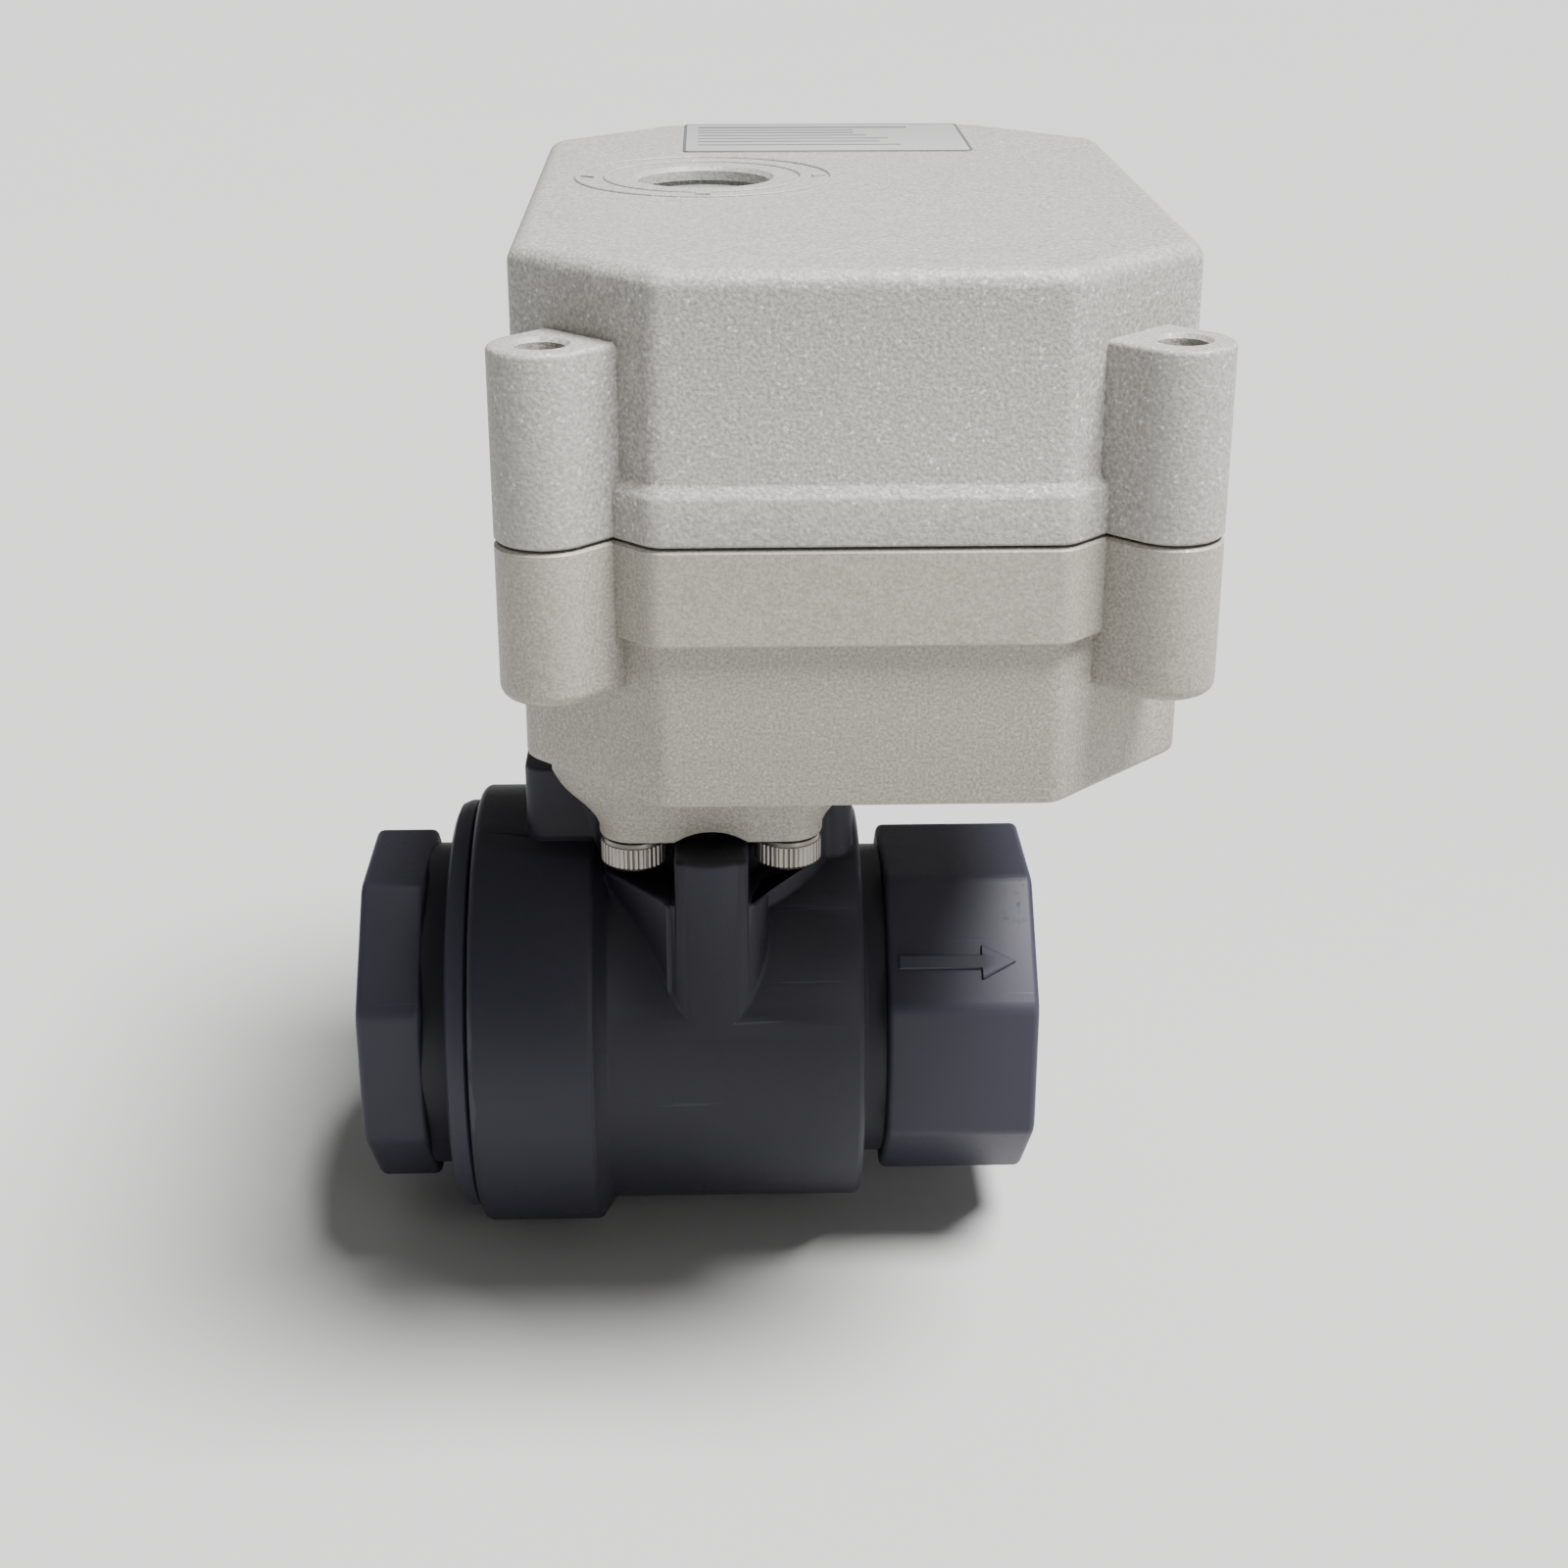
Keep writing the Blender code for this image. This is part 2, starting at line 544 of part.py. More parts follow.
def make_valve_body(finish):
    """The dark body: collar, barrel, neck with rib and ears, and the outlet's octagon."""
    collar = [(0, BODY_LEFT), (COLLAR_R - 0.8, BODY_LEFT), (COLLAR_R, BODY_LEFT + 0.8),
              (COLLAR_R, COLLAR_RIGHT)]
    wall = [(BODY_R, COLLAR_RIGHT + 1.6), (BODY_R, BODY_RIGHT - 0.6), (BODY_R - 0.6, BODY_RIGHT)]
    groove = [(GROOVE_R, BODY_RIGHT), (GROOVE_R, OCT_LEFT + 2), (0, OCT_LEFT + 2)]
    barrel = along_x(turned(collar + wall + groove, 36))
    web = [(-13.6, -12.4), (-5.3, -22.0), (0, -17), (6, -10), (0, 0), (-12, 0)]
    ear_left = moved(prism(rounded(6.2, EAR_HALF_Y, 2.5), 15, EAR_LEFT_TOP), x=EAR_LEFT + 6.2)
    ear_right = moved(prism(rounded(4.0, EAR_HALF_Y, 2.5), 15, EAR_RIGHT_TOP), x=EAR_RIGHT - 4.0)
    adds = [octagon_end(OCT_LEFT, VALVE_RIGHT), cylinder(NECK_R, 0, NECK_TOP, steps=36),
            cylinder(RIB_R, 0, NECK_TOP, 0, -RIB_Y), cylinder(RIB_R, 0, NECK_TOP, 0, RIB_Y),
            prism(web, 0, NECK_TOP), ear_left, ear_right]
    cuts = [loft(foot_sections(0.4, NECK_TOP, BOTTOM))]
    cuts += [cylinder(POCKET_R, POCKET_Z, BOTTOM, x, y, steps=20) for x, y in MOUNT_PLACES]
    body = shape(barrel, adds, cuts)
    spigot = [cylinder(SPIGOT_R, NECK_TOP - 8, SPIGOT_TOP)]
    bores = [bore_cut(INSERT_R + GAP, BODY_LEFT - THROUGH, -CAVITY_HALF),
             bore_cut(CAVITY_R, -CAVITY_HALF - 1, CAVITY_HALF),
             bore_cut(SEAT_OUT + GAP, CAVITY_HALF - 1, SEAT_BACK + GAP),
             bore_cut(BORE_R, SEAT_BACK - 1, VALVE_RIGHT - PORT_DEPTH + 1),
             bore_cut(PORT_R, VALVE_RIGHT - PORT_DEPTH, VALVE_RIGHT + THROUGH),
             cylinder(7.2, 12, 21.0), cylinder(STEM_BORE_R, 15, SPIGOT_TOP + THROUGH, steps=20)]
    piece("valve_body", shape(body, spigot, bores), finish)


def make_end_cap(finish):
    """The union end at the inlet, its insert reaching in to the ball's left seat."""
    groove = (-27.0, -24.8)
    neck = [(0, CAP_OCT_RIGHT - 1), (CAP_NECK_R, CAP_OCT_RIGHT - 1), (CAP_NECK_R, CAP_FLANGE_LEFT)]
    flange = [(CAP_FLANGE_R - 1.4, CAP_FLANGE_LEFT), (CAP_FLANGE_R, CAP_FLANGE_LEFT + 1.4),
              (CAP_FLANGE_R, BODY_LEFT - GAP), (INSERT_R, BODY_LEFT - GAP)]
    insert = [(INSERT_R, groove[0]), (O_RING_SEAT_R, groove[0]), (O_RING_SEAT_R, groove[1]),
              (INSERT_R, groove[1]), (INSERT_R, INSERT_RIGHT), (0, INSERT_RIGHT)]
    cap = along_x(turned(neck + flange + insert, 30))
    seat = -SEAT_BACK - GAP
    bores = [bore_cut(BORE_R, VALVE_LEFT + PORT_DEPTH - 1, INSERT_RIGHT + THROUGH),
             bore_cut(SEAT_OUT + GAP, seat, INSERT_RIGHT + THROUGH),
             bore_cut(PORT_R, VALVE_LEFT - THROUGH, VALVE_LEFT + PORT_DEPTH)]
    piece("end_cap", shape(cap, [octagon_end(VALVE_LEFT, CAP_OCT_RIGHT)], bores), finish)
    return groove


def make_seats(finish):
    """The two seat rings, mirrored about the ball."""
    for name, side in (("seat_ring_left", -1), ("seat_ring_right", 1)):
        ring = turned([(SEAT_IN, 15.6), (SEAT_OUT, 11.5), (SEAT_OUT, SEAT_BACK), (SEAT_IN, SEAT_BACK)])
        if side < 0:
            ring.transform(Matrix.Rotation(pi, 4, "X"))
        piece(name, along_x(ring), finish)


def make_ball_and_stem(finishes, turning):
    """The ball with its through bore and slot, and the stem whose tang turns it."""
    steps = 14
    profile = [(0, -BALL_R)]
    profile += [(BALL_R * sin(pi * i / steps), -BALL_R * cos(pi * i / steps)) for i in range(1, steps)]
    profile += [(0, BALL_R)]
    sphere = turned(profile)
    slot = block(-2.2, 2.2, -8, 8, 14.5, 25)
    ball = shape(sphere, cut=[bore_cut(BORE_R, -2 * BALL_R, 2 * BALL_R), slot])
    piece("ball", ball, finishes["valve_plastic"], parent=turning)
    rings = (25.0, 31.0)
    profile = [(0, 18.9), (6.9, 18.9), (6.9, 20.7), (STEM_R, 20.7)]
    for low in rings:
        profile += [(STEM_R, low), (3.9, low), (3.9, low + 2), (STEM_R, low + 2)]
    profile += [(STEM_R, 40), (0, 40)]
    half = SQUARE / 2
    stem = shape(turned(profile, 20), [block(-half, half, -half, half, 38, STEM_TOP),
                                       block(-1.9, 1.9, -5.8, 5.8, 14.9, 19.5)])
    piece("stem", stem, finishes["stainless"], parent=turning)
    for number, low in enumerate(rings, start=1):
        piece(f"stem_o_ring_{number}", torus(4.45, 0.5, low + 1), finishes["rubber"], parent=turning)


def make_valve(finishes, turning):
    """The whole valve and the lock ring that holds the foot on its neck."""
    make_valve_body(finishes["valve_plastic"])
    groove = make_end_cap(finishes["valve_plastic"])
    ring = along_x(torus(21.1, 0.7, sum(groove) / 2))
    piece("body_o_ring", ring, finishes["rubber"])
    make_seats(finishes["seat_plastic"])
    make_ball_and_stem(finishes, turning)
    lock = turned([(SPIGOT_R + GAP, 0), (12.6, 0), (12.6, 4.2), (SPIGOT_R + GAP, 4.2)])
    notches = [moved(block(-1.5, 1.5, -1.2, 2, 2.4, 6), x=12.6 * cos(a), y=12.6 * sin(a))
               for a in (0, pi / 2, pi, 3 * pi / 2)]
    piece("neck_lock_ring", shape(lock, cut=notches), finishes["brass"], (0, 0, FOOT_FLOOR + GAP))


# ---- drive ----

CLUSTER_2 = (28.0 * cos(radians(-10)), 28.0 * sin(radians(-10)))
SMALL_CENTRES = SMALL_MODULE * (PINION_TEETH + WHEEL_TEETH) / 2
TO_CLUSTER_1, TO_MOTOR = radians(-100), radians(-159)
CLUSTER_1 = (CLUSTER_2[0] + SMALL_CENTRES * cos(TO_CLUSTER_1),
             CLUSTER_2[1] + SMALL_CENTRES * sin(TO_CLUSTER_1))
MOTOR = (CLUSTER_1[0] + SMALL_CENTRES * cos(TO_MOTOR), CLUSTER_1[1] + SMALL_CENTRES * sin(TO_MOTOR))
PLATE = (14.5, -15.0, 31.0, 31.0, 8.0)


def make_output(finishes, turning):
    """The output shaft with its sector gear, cams and dial, and the bush it runs in."""
    lower = [(0, SHAFT_LOW), (SHAFT_R, SHAFT_LOW), (SHAFT_R, 54.2), (7.1, 54.2), (7.1, 55.8), (SHAFT_R, 55.8)]
    spindle = [(SHAFT_R, SHAFT_SHOULDER), (SPINDLE_R, SHAFT_SHOULDER), (SPINDLE_R, TIP_LOW)]
    tip = [(TIP_R, TIP_LOW), (TIP_R, SHAFT_TOP), (0, SHAFT_TOP)]
    shaft = turned(lower + spindle + tip, 22)
    half = SQUARE / 2 + GAP
    socket = block(-half, half, -half, half, SHAFT_LOW - THROUGH, STEM_TOP + 0.7)
    piece("output_shaft", shape(shaft, cut=[socket]), finishes["steel"], parent=turning)
    bush_r, flange_r, low, high = SHAFT_R + 0.25, 11.2, BOTTOM + 0.2, 58.0
    outer_r = BUSH_BORE_R - GAP
    bush = turned([(bush_r, low), (outer_r, low), (outer_r, FLOOR + GAP), (flange_r, FLOOR + GAP),
                   (flange_r, high), (bush_r, high)])
    piece("output_bush", bush, finishes["brass"])
    piece("shaft_o_ring", torus(7.6, 0.42, 55.0), finishes["rubber"], parent=turning)
    bore = SPINDLE_R + GAP
    hole = cylinder(bore, LEVEL_A - THROUGH, GEAR_TOP + THROUGH, steps=20)
    gear_body = shape(prism(sector(9.0), LEVEL_A, GEAR_TOP), cut=[hole])
    piece("output_gear", gear_body, finishes["steel"], parent=turning)
    for name, level, rising in (("cam_lower", 0, True), ("cam_upper", 1, False)):
        low = CAM_LOW + level * CAM_PITCH
        hole = cylinder(bore, low - THROUGH, low + CAM_H + THROUGH, steps=20)
        cam_body = shape(prism(cam(rising), low, low + CAM_H), cut=[hole])
        piece(name, cam_body, finishes["gear_plastic"], parent=turning)
    top = DIAL_LOW + DIAL_H
    pointer = [(-1.2, -7.5), (1.2, -7.5), (1.2, 3.5), (3.0, 3.5), (0, 7.8), (-3.0, 3.5), (-1.2, 3.5)]
    dial = shape(cylinder(DIAL_R, DIAL_LOW, top), [prism(pointer, top - 0.5, top + 0.6)])
    piece("indicator_dial", dial, finishes["dial"], parent=turning)


def plate(low, shaft_r, pillar_r, extra=()):
    """A gear plate with holes for the shaft, the axles and the pillars."""
    x, y, half_x, half_y, leg = PLATE
    outline = [(px + x, py + y) for px, py in octagon(half_x, half_y, leg)]
    holes = [(0, 0, shaft_r), (*CLUSTER_1, AXLE_BORE), (*CLUSTER_2, AXLE_BORE), *extra]
    holes += [(px, py, pillar_r) for px, py in PILLARS]
    cuts = [cylinder(r, low - THROUGH, low + THROUGH, px, py, max(12, ceil(3 * r))) for px, py, r in holes]
    return shape(prism(outline, low, low + PLATE_H), cut=cuts)


def make_gear_frame(finishes):
    """The two gear plates and the four stepped pillars that carry them."""
    motor_hole = (*MOTOR, AXLE_R + 0.7)
    piece("lower_gear_plate", plate(PLATE_LOW, SPINDLE_R + 0.6, 2.3, (motor_hole,)), finishes["steel"])
    piece("upper_gear_plate", plate(PLATE_HIGH, TIP_R + 0.4, 1.8), finishes["steel"])
    low, shoulder = FLOOR + GAP, PLATE_LOW - GAP
    step, top = PLATE_HIGH - GAP, PLATE_HIGH + PLATE_H + 0.7
    pillar = turned([(0, low), (2.5, low), (2.5, shoulder), (2.0, shoulder), (2.0, step), (1.4, step),
                     (1.4, top), (0, top)], 14)
    copies("plate_pillar", pillar, finishes["steel"], [(x, y, 0) for x, y in PILLARS])


def make_motor(finishes):
    """The motor can with its end boss, and the gearhead under the lower plate."""
    can = turned([(0, MOTOR_LOW - 1.7), (3.0, MOTOR_LOW - 1.7), (3.0, MOTOR_LOW), (MOTOR_R - 0.8, MOTOR_LOW),
                  (MOTOR_R, MOTOR_LOW + 0.8), (MOTOR_R, GEARHEAD_LOW - GAP), (0, GEARHEAD_LOW - GAP)])
    piece("motor_can", can, finishes["steel"], (*MOTOR, 0))
    top = PLATE_LOW - GAP
    hole = cylinder(AXLE_R + 0.4, top - THROUGH + 1, top + THROUGH, steps=16)
    gearhead = shape(cylinder(GEARHEAD_R, GEARHEAD_LOW, top), cut=[hole])
    piece("gearhead", gearhead, finishes["steel"], (*MOTOR, 0))


def make_train(finishes):
    """The motor pinion and the two cluster gears, in mesh, with their axles."""
    towards_2 = radians(-10)
    pinion_2 = meshing(towards_2, SECTOR_MIDDLE, SECTOR_TEETH, PINION_TEETH)
    pinion_1 = meshing(TO_CLUSTER_1, 0.0, WHEEL_TEETH, PINION_TEETH)
    motor_phase = meshing(TO_MOTOR, 0.0, WHEEL_TEETH, PINION_TEETH)
    bore = [cylinder(AXLE_BORE, LEVEL_C - THROUGH, GEAR_TOP + THROUGH, steps=16)]
    wheel = gear(WHEEL_TEETH, SMALL_MODULE, 0.0)
    spin = joint_axis("cluster_2_axis", (*CLUSTER_2, 0))
    body = shape(prism(wheel, LEVEL_B, LEVEL_B + 2.6),
                 [prism(gear(PINION_TEETH, LARGE_MODULE, pinion_2), LEVEL_B + 2.0, GEAR_TOP)], bore)
    piece("cluster_gear_2", body, finishes["gear_plastic"], parent=spin)
    spin = joint_axis("cluster_1_axis", (*CLUSTER_1, 0))
    bore = [cylinder(AXLE_BORE, LEVEL_C - THROUGH, GEAR_TOP + THROUGH, steps=16)]
    body = shape(prism(wheel, LEVEL_C, LEVEL_C + 2.6),
                 [prism(gear(PINION_TEETH, SMALL_MODULE, pinion_1), LEVEL_C + 2.0, LEVEL_B + 3.0)], bore)
    piece("cluster_gear_1", body, finishes["gear_plastic"], parent=spin)
    spin = joint_axis("motor_axis", (*MOTOR, 0))
    body = shape(prism(gear(PINION_TEETH, SMALL_MODULE, motor_phase), LEVEL_C, LEVEL_C + 2.9),
                 [cylinder(AXLE_R, 80.6, LEVEL_C + 4, steps=16)])
    piece("motor_pinion", body, finishes["brass"], parent=spin)
    low, top = PLATE_LOW - GAP, PLATE_HIGH + PLATE_H + 0.5
    axle = turned([(0, low - 1.2), (2.4, low - 1.2), (2.4, low), (AXLE_R, low), (AXLE_R, top), (0, top)], 16)
    copies("gear_axle", axle, finishes["steel"], [(*CLUSTER_1, 0), (*CLUSTER_2, 0)])


# ---- electrics ----

def make_board(finishes):
    """The circuit board with its relay and terminal block."""
    x, y = PCB_X, PCB_Y
    board = moved(prism(rounded(PCB_W / 2, PCB_D / 2, 1.5), PCB_LOW, PCB_LOW + PCB_H), x=x, y=y)
    holes = [cylinder(1.2, 60, 70, px, py, steps=12) for px, py in PCB_POSTS[:2]]
    piece("circuit_board", shape(board, cut=holes), finishes["board"])
    low = PCB_LOW + PCB_H + GAP
    high = low + 13.8
    relay = shape(block(-3, 16, 25, 36, low, high), cut=[block(-2, 15, 26, 35, high - 0.4, high + THROUGH)])
    piece("relay", relay, finishes["relay_blue"])
    terminal = block(21, 34, 27.5, 35.5, low, low + 8.8)
    ways = (23.5, 27.5, 31.5)
    wires = [along_y(moved(cylinder(1.4, 31, 40, steps=12), x=way, y=-low - 3.2)) for way in ways]
    screws = [cylinder(1.3, low + 7.0, low + 12, way, 30.5, steps=12) for way in ways]
    piece("terminal_block", shape(terminal, cut=wires + screws), finishes["terminal_green"])


def make_switches(finishes):
    """The two limit switches, each with the plunger that its cam presses."""
    half = SWITCH_W / 2
    start = (CAM_BASE, CAM_BASE + CAM_RISE)
    for level, name in enumerate(("closed", "open")):
        low = PCB_LOW + PCB_H + GAP + level * CAM_PITCH
        middle = low + SWITCH_H / 2
        case = block(SWITCH_X - half, SWITCH_X + half, SWITCH_Y, SWITCH_Y + SWITCH_D, low, low + SWITCH_H)
        hole = moved(along_y(cylinder(PLUNGER_R + GAP, SWITCH_Y - 3, SWITCH_Y + 4.5, steps=12)), z=middle)
        pins = [cylinder(1.1, low - 2, low + 9, px, SWITCH_Y + 7, steps=12) for px in (-3.5, 9.5)]
        piece(f"switch_{name}", shape(case, cut=[hole, *pins]), finishes["switch_body"])
        tip = start[level] + CAM_GAP
        pin = along_y(turned([(0, tip), (0.7, tip + 0.1), (PLUNGER_R, tip + 0.6), (PLUNGER_R, PLUNGER_BACK),
                              (0, PLUNGER_BACK)], 12))
        slide = joint_axis(f"plunger_{name}_axis", (0, 0, middle))
        piece(f"plunger_{name}", pin, finishes["plunger_red"], parent=slide)


def main():
    """Build the whole assembly in an emptied scene."""
    for thing in list(bpy.data.objects):
        bpy.data.objects.remove(thing)
    finishes = make_materials()
    turning = joint_axis("stem_axis", (0, 0, 0))
    make_base(finishes["base_grey"])
    make_cover(finishes["cover_grey"])
    make_cover_details(finishes)
    make_foot(finishes)
    make_gland(finishes)
    make_valve(finishes, turning)
    make_output(finishes, turning)
    make_gear_frame(finishes)
    make_motor(finishes)
    make_train(finishes)
    make_board(finishes)
    make_switches(finishes)


main()
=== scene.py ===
"""Finished surfaces, materials and studio of the motorised ball valve.

Lengths are in millimetres unless a name says otherwise; MM turns them into metres.
The moulded shells, the foot, the valve and the screws replace their plain CAD solids.
"""
import json
import bpy
import bmesh
from math import cos, pi, radians, sin, sqrt
from mathutils import Matrix, Vector


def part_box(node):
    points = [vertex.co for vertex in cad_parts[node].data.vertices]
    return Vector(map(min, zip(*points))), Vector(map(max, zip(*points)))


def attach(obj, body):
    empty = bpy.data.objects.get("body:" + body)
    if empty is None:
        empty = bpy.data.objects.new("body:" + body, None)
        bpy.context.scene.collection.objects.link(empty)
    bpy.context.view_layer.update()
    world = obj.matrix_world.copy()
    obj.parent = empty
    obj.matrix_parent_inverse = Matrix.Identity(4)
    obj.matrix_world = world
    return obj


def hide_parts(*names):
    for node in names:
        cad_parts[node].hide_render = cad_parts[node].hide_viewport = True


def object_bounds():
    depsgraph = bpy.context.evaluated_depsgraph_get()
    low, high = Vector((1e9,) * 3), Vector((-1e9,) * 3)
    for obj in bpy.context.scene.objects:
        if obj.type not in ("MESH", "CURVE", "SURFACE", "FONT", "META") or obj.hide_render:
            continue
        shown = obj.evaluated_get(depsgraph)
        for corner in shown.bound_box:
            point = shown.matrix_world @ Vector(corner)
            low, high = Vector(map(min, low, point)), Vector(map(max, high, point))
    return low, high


MM = 0.001
ROUND = 96             # facets of a large round piece
SMALL = 32             # facets of a small round piece
SHARP = radians(32)
THROUGH = 5.0          # how far a cutter passes a wall
GAP = 0.3              # between two pieces that touch
SEAM_GAP = GAP / 2     # each shell stops this far from the seam
AXIS_R = 0.01          # radius of a turned solid's ends, in place of points on its axis
ROOT = "valve_and_housing"

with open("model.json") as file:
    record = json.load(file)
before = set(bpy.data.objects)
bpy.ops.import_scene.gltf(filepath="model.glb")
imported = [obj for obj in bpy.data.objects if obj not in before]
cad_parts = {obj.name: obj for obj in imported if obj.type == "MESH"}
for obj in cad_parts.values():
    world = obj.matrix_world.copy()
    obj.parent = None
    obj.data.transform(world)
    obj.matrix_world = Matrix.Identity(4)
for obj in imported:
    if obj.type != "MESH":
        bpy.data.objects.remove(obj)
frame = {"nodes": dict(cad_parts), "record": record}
cad_low, cad_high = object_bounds()


# ---- places read from the frame ----

def node_box(node):
    """A CAD node's lowest and highest corners in millimetres."""
    low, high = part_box(node)
    return low / MM, high / MM


cover_low, cover_high = node_box("top_cover")
base_low, base_high = node_box("base_housing")
foot_low, foot_high = node_box("mounting_foot")
body_low, body_high = node_box("valve_body")
cap_low, _ = node_box("end_cap")
lens_low, lens_high = node_box("window_lens")
label_low, label_high = node_box("rating_label")
dial_low, dial_high = node_box("indicator_dial")

HOUSING_X, HOUSING_Y = (cover_low.x + cover_high.x) / 2, (cover_low.y + cover_high.y) / 2
TOP, SEAM, BOTTOM = cover_high.z, (cover_low.z + base_high.z) / 2, base_low.z
VALVE_LEFT, BODY_LEFT, VALVE_RIGHT = cap_low.x, body_low.x, body_high.x
COLLAR_R = -body_low.z
FOOT_LOW = foot_low.z
FOOT_FLARE_X, FOOT_FLARE_Y = foot_high.x, foot_high.y

# Housing sizes
HALF_X, HALF_Y, LEG, CORNER_R = 35.7, 52.5, 15.0, 1.2
LIP, LIP_HEIGHT, STEP_DROP, WALL, TOP_EDGE_R = 1.1, 5.3, 10.4, 2.8, 2.0
BOSS_X, BOSS_Y, BOSS_R, BOSS_INWARD = 31.8, 48.85, 5.37, 7.5
BOSS_HIGH, BOSS_LOW, BOSS_EDGE_R = 19.9, 16.7, 1.4   # above and below the seam
COUNTERBORE_R, COUNTERBORE_DEPTH, SCREW_HOLE_R = 2.6, 6.6, 1.55
WINDOW_R, WINDOW_RING_R, WINDOW_ARC_R, POINTER_H = 7.8, 11.57, 15.03, 0.6
FLOOR_THICK, BUSH_BORE_R, GLAND_BORE_R = 3.0, 10.3, 5.3

# Foot and screws
FOOT_HALF_X, FOOT_HALF_Y, LOBE_R, LOBE_X, LOBE_Y = 13.8, 19.3, 4.3, 9.5, 15.0
FOOT_LOBE_H, FOOT_FLARE_H, ARCH_R, ARCH_DROP = 1.5, 9.4, 7.8, 6.2
FOOT_CAVITY_R, FOOT_FLOOR_H, SPIGOT_R = 13.2, 4.9, 8.6
MOUNT_R, MOUNT_HEAD_R, MOUNT_HEAD_H, KNURL_TEETH, KNURL_DEPTH = 2.5, 4.15, 3.6, 40, 0.16
SOCKET_FLAT, SOCKET_DEPTH = 2.0, 2.2

# Valve
BODY_R, GROOVE_R, OCT_HALF, CAP_FLANGE_R, CAP_NECK_R = 26.18, 20.5, 21.5, 27.0, 21.3
COLLAR_RIGHT, BODY_RIGHT, OCT_LEFT, CAP_OCT_RIGHT, CAP_FLANGE_LEFT = -14.8, 19.0, 22.0, -36.5, -33.4
INSERT_R, INSERT_RIGHT, O_RING_R, O_RING_LEFT, O_RING_RIGHT = 21.7, -13.3, 20.2, -27.0, -24.8
SEAT_BACK, SEAT_R, CAVITY_R, CAVITY_HALF, BORE_R = 17.3, 15.0, 18.8, 13.0, 10.0
PORT_DEPTH, THREAD_ROOT_R, THREAD_CREST_R, THREAD_PITCH = 18.0, 16.5, 15.25, 2.309
NECK_R, NECK_TOP, POCKET_Z, POCKET_R, RIB_R, RIB_Y = 17.2, 30.7, 24.6, 5.0, 7.0, 18.2
EAR_LEFT, EAR_LEFT_TOP, EAR_RIGHT, EAR_RIGHT_TOP, EAR_HALF_Y = -23.4, 37.0, 18.0, 33.0, 9.0
SPIGOT_TOP, STEM_BORE_R, STEM_FLANGE_R = 41.5, 5.2, 7.2
CORNERS = ((1, 1), (-1, 1), (-1, -1), (1, -1))


# ---- outlines ----

def circle(radius, steps=ROUND, x=0.0, y=0.0, phase=0.0):
    """Points round a circle."""
    return [(x + radius * cos(2 * pi * i / steps + phase), y + radius * sin(2 * pi * i / steps + phase))
            for i in range(steps)]


def polygon(flat, sides, phase=0.0):
    """A regular polygon with its flats at the distance flat from the centre."""
    return circle(flat / cos(pi / sides), sides, phase=phase + pi / sides)


def soften(corners, radius, steps=5):
    """The outline with an arc in place of each corner."""
    points = []
    for i, corner in enumerate(corners):
        before, after = corners[i - 1], corners[(i + 1) % len(corners)]
        a = (before[0] - corner[0], before[1] - corner[1])
        b = (after[0] - corner[0], after[1] - corner[1])
        la, lb = sqrt(a[0] ** 2 + a[1] ** 2), sqrt(b[0] ** 2 + b[1] ** 2)
        a, b = (a[0] / la, a[1] / la), (b[0] / lb, b[1] / lb)
        reach = min(radius, la / 2.2, lb / 2.2)
        for step in range(steps):
            t = step / (steps - 1)
            wa, wb = (1 - t) ** 2 * reach, t ** 2 * reach
            points.append((corner[0] + a[0] * wa + b[0] * wb, corner[1] + a[1] * wa + b[1] * wb))
    return points


def octagon(half_x, half_y, leg, grow=0.0):
    """Corners of a rectangle with 45 degree chamfers, moved outwards by grow."""
    x, y = half_x + grow, half_y + grow
    c = leg + grow * (2 - sqrt(2))
    right, left = [(x, c - y), (x, y - c)], [(-x, y - c), (-x, c - y)]
    return right + [(x - c, y), (c - x, y)] + left + [(c - x, -y), (x - c, -y)]


def housing(grow=0.0):
    """The housing's plan with its upright edges rounded."""
    return soften(octagon(HALF_X, HALF_Y, LEG, grow), CORNER_R)


def boss(sx, sy, grow=0.0, steps=28):
    """Plan of a corner boss: round outside, straight sides running in to the chamfer."""
    out = {(1, 1): 1, (-1, 1): 3, (-1, -1): 5, (1, -1): 7}[(sx, sy)] * pi / 4
    x, y, radius = sx * BOSS_X, sy * BOSS_Y, BOSS_R + grow
    turns = [out + (i / steps - 0.5) * pi for i in range(steps + 1)]
    points = [(x + radius * cos(t), y + radius * sin(t)) for t in turns]
    inward = (-cos(out) * BOSS_INWARD, -sin(out) * BOSS_INWARD)
    for end in (points[-1], points[0]):
        points.append((end[0] + inward[0], end[1] + inward[1]))
    return points


def rounded(half_x, half_y, radius, steps=9):
    """A rectangle with round corners."""
    points = []
    for quarter, (sx, sy) in enumerate(CORNERS):
        for step in range(steps):
            turn = (quarter + step / (steps - 1)) * pi / 2
            points.append((sx * (half_x - radius) + radius * cos(turn),
                           sy * (half_y - radius) + radius * sin(turn)))
    return points


# ---- solids ----

def loft(sections, ring=False):
    """A closed solid through (outline, height) sections of equal point count."""
    bm = bmesh.new()
    rows = [[bm.verts.new((x, y, z)) for x, y in outline] for outline, z in sections]
    pairs = list(zip(rows, rows[1:]))
    if ring:
        pairs.append((rows[-1], rows[0]))
    else:
        bm.faces.new(reversed(rows[0]))
        bm.faces.new(rows[-1])
    for low, high in pairs:
        for i, start in enumerate(low):
            j = (i + 1) % len(low)
            bm.faces.new((start, low[j], high[j], high[i]))
    bmesh.ops.recalc_face_normals(bm, faces=bm.faces)
    return bm


def prism(outline, low, high):
    """An outline pushed straight up."""
    return loft([(outline, low), (outline, high)])


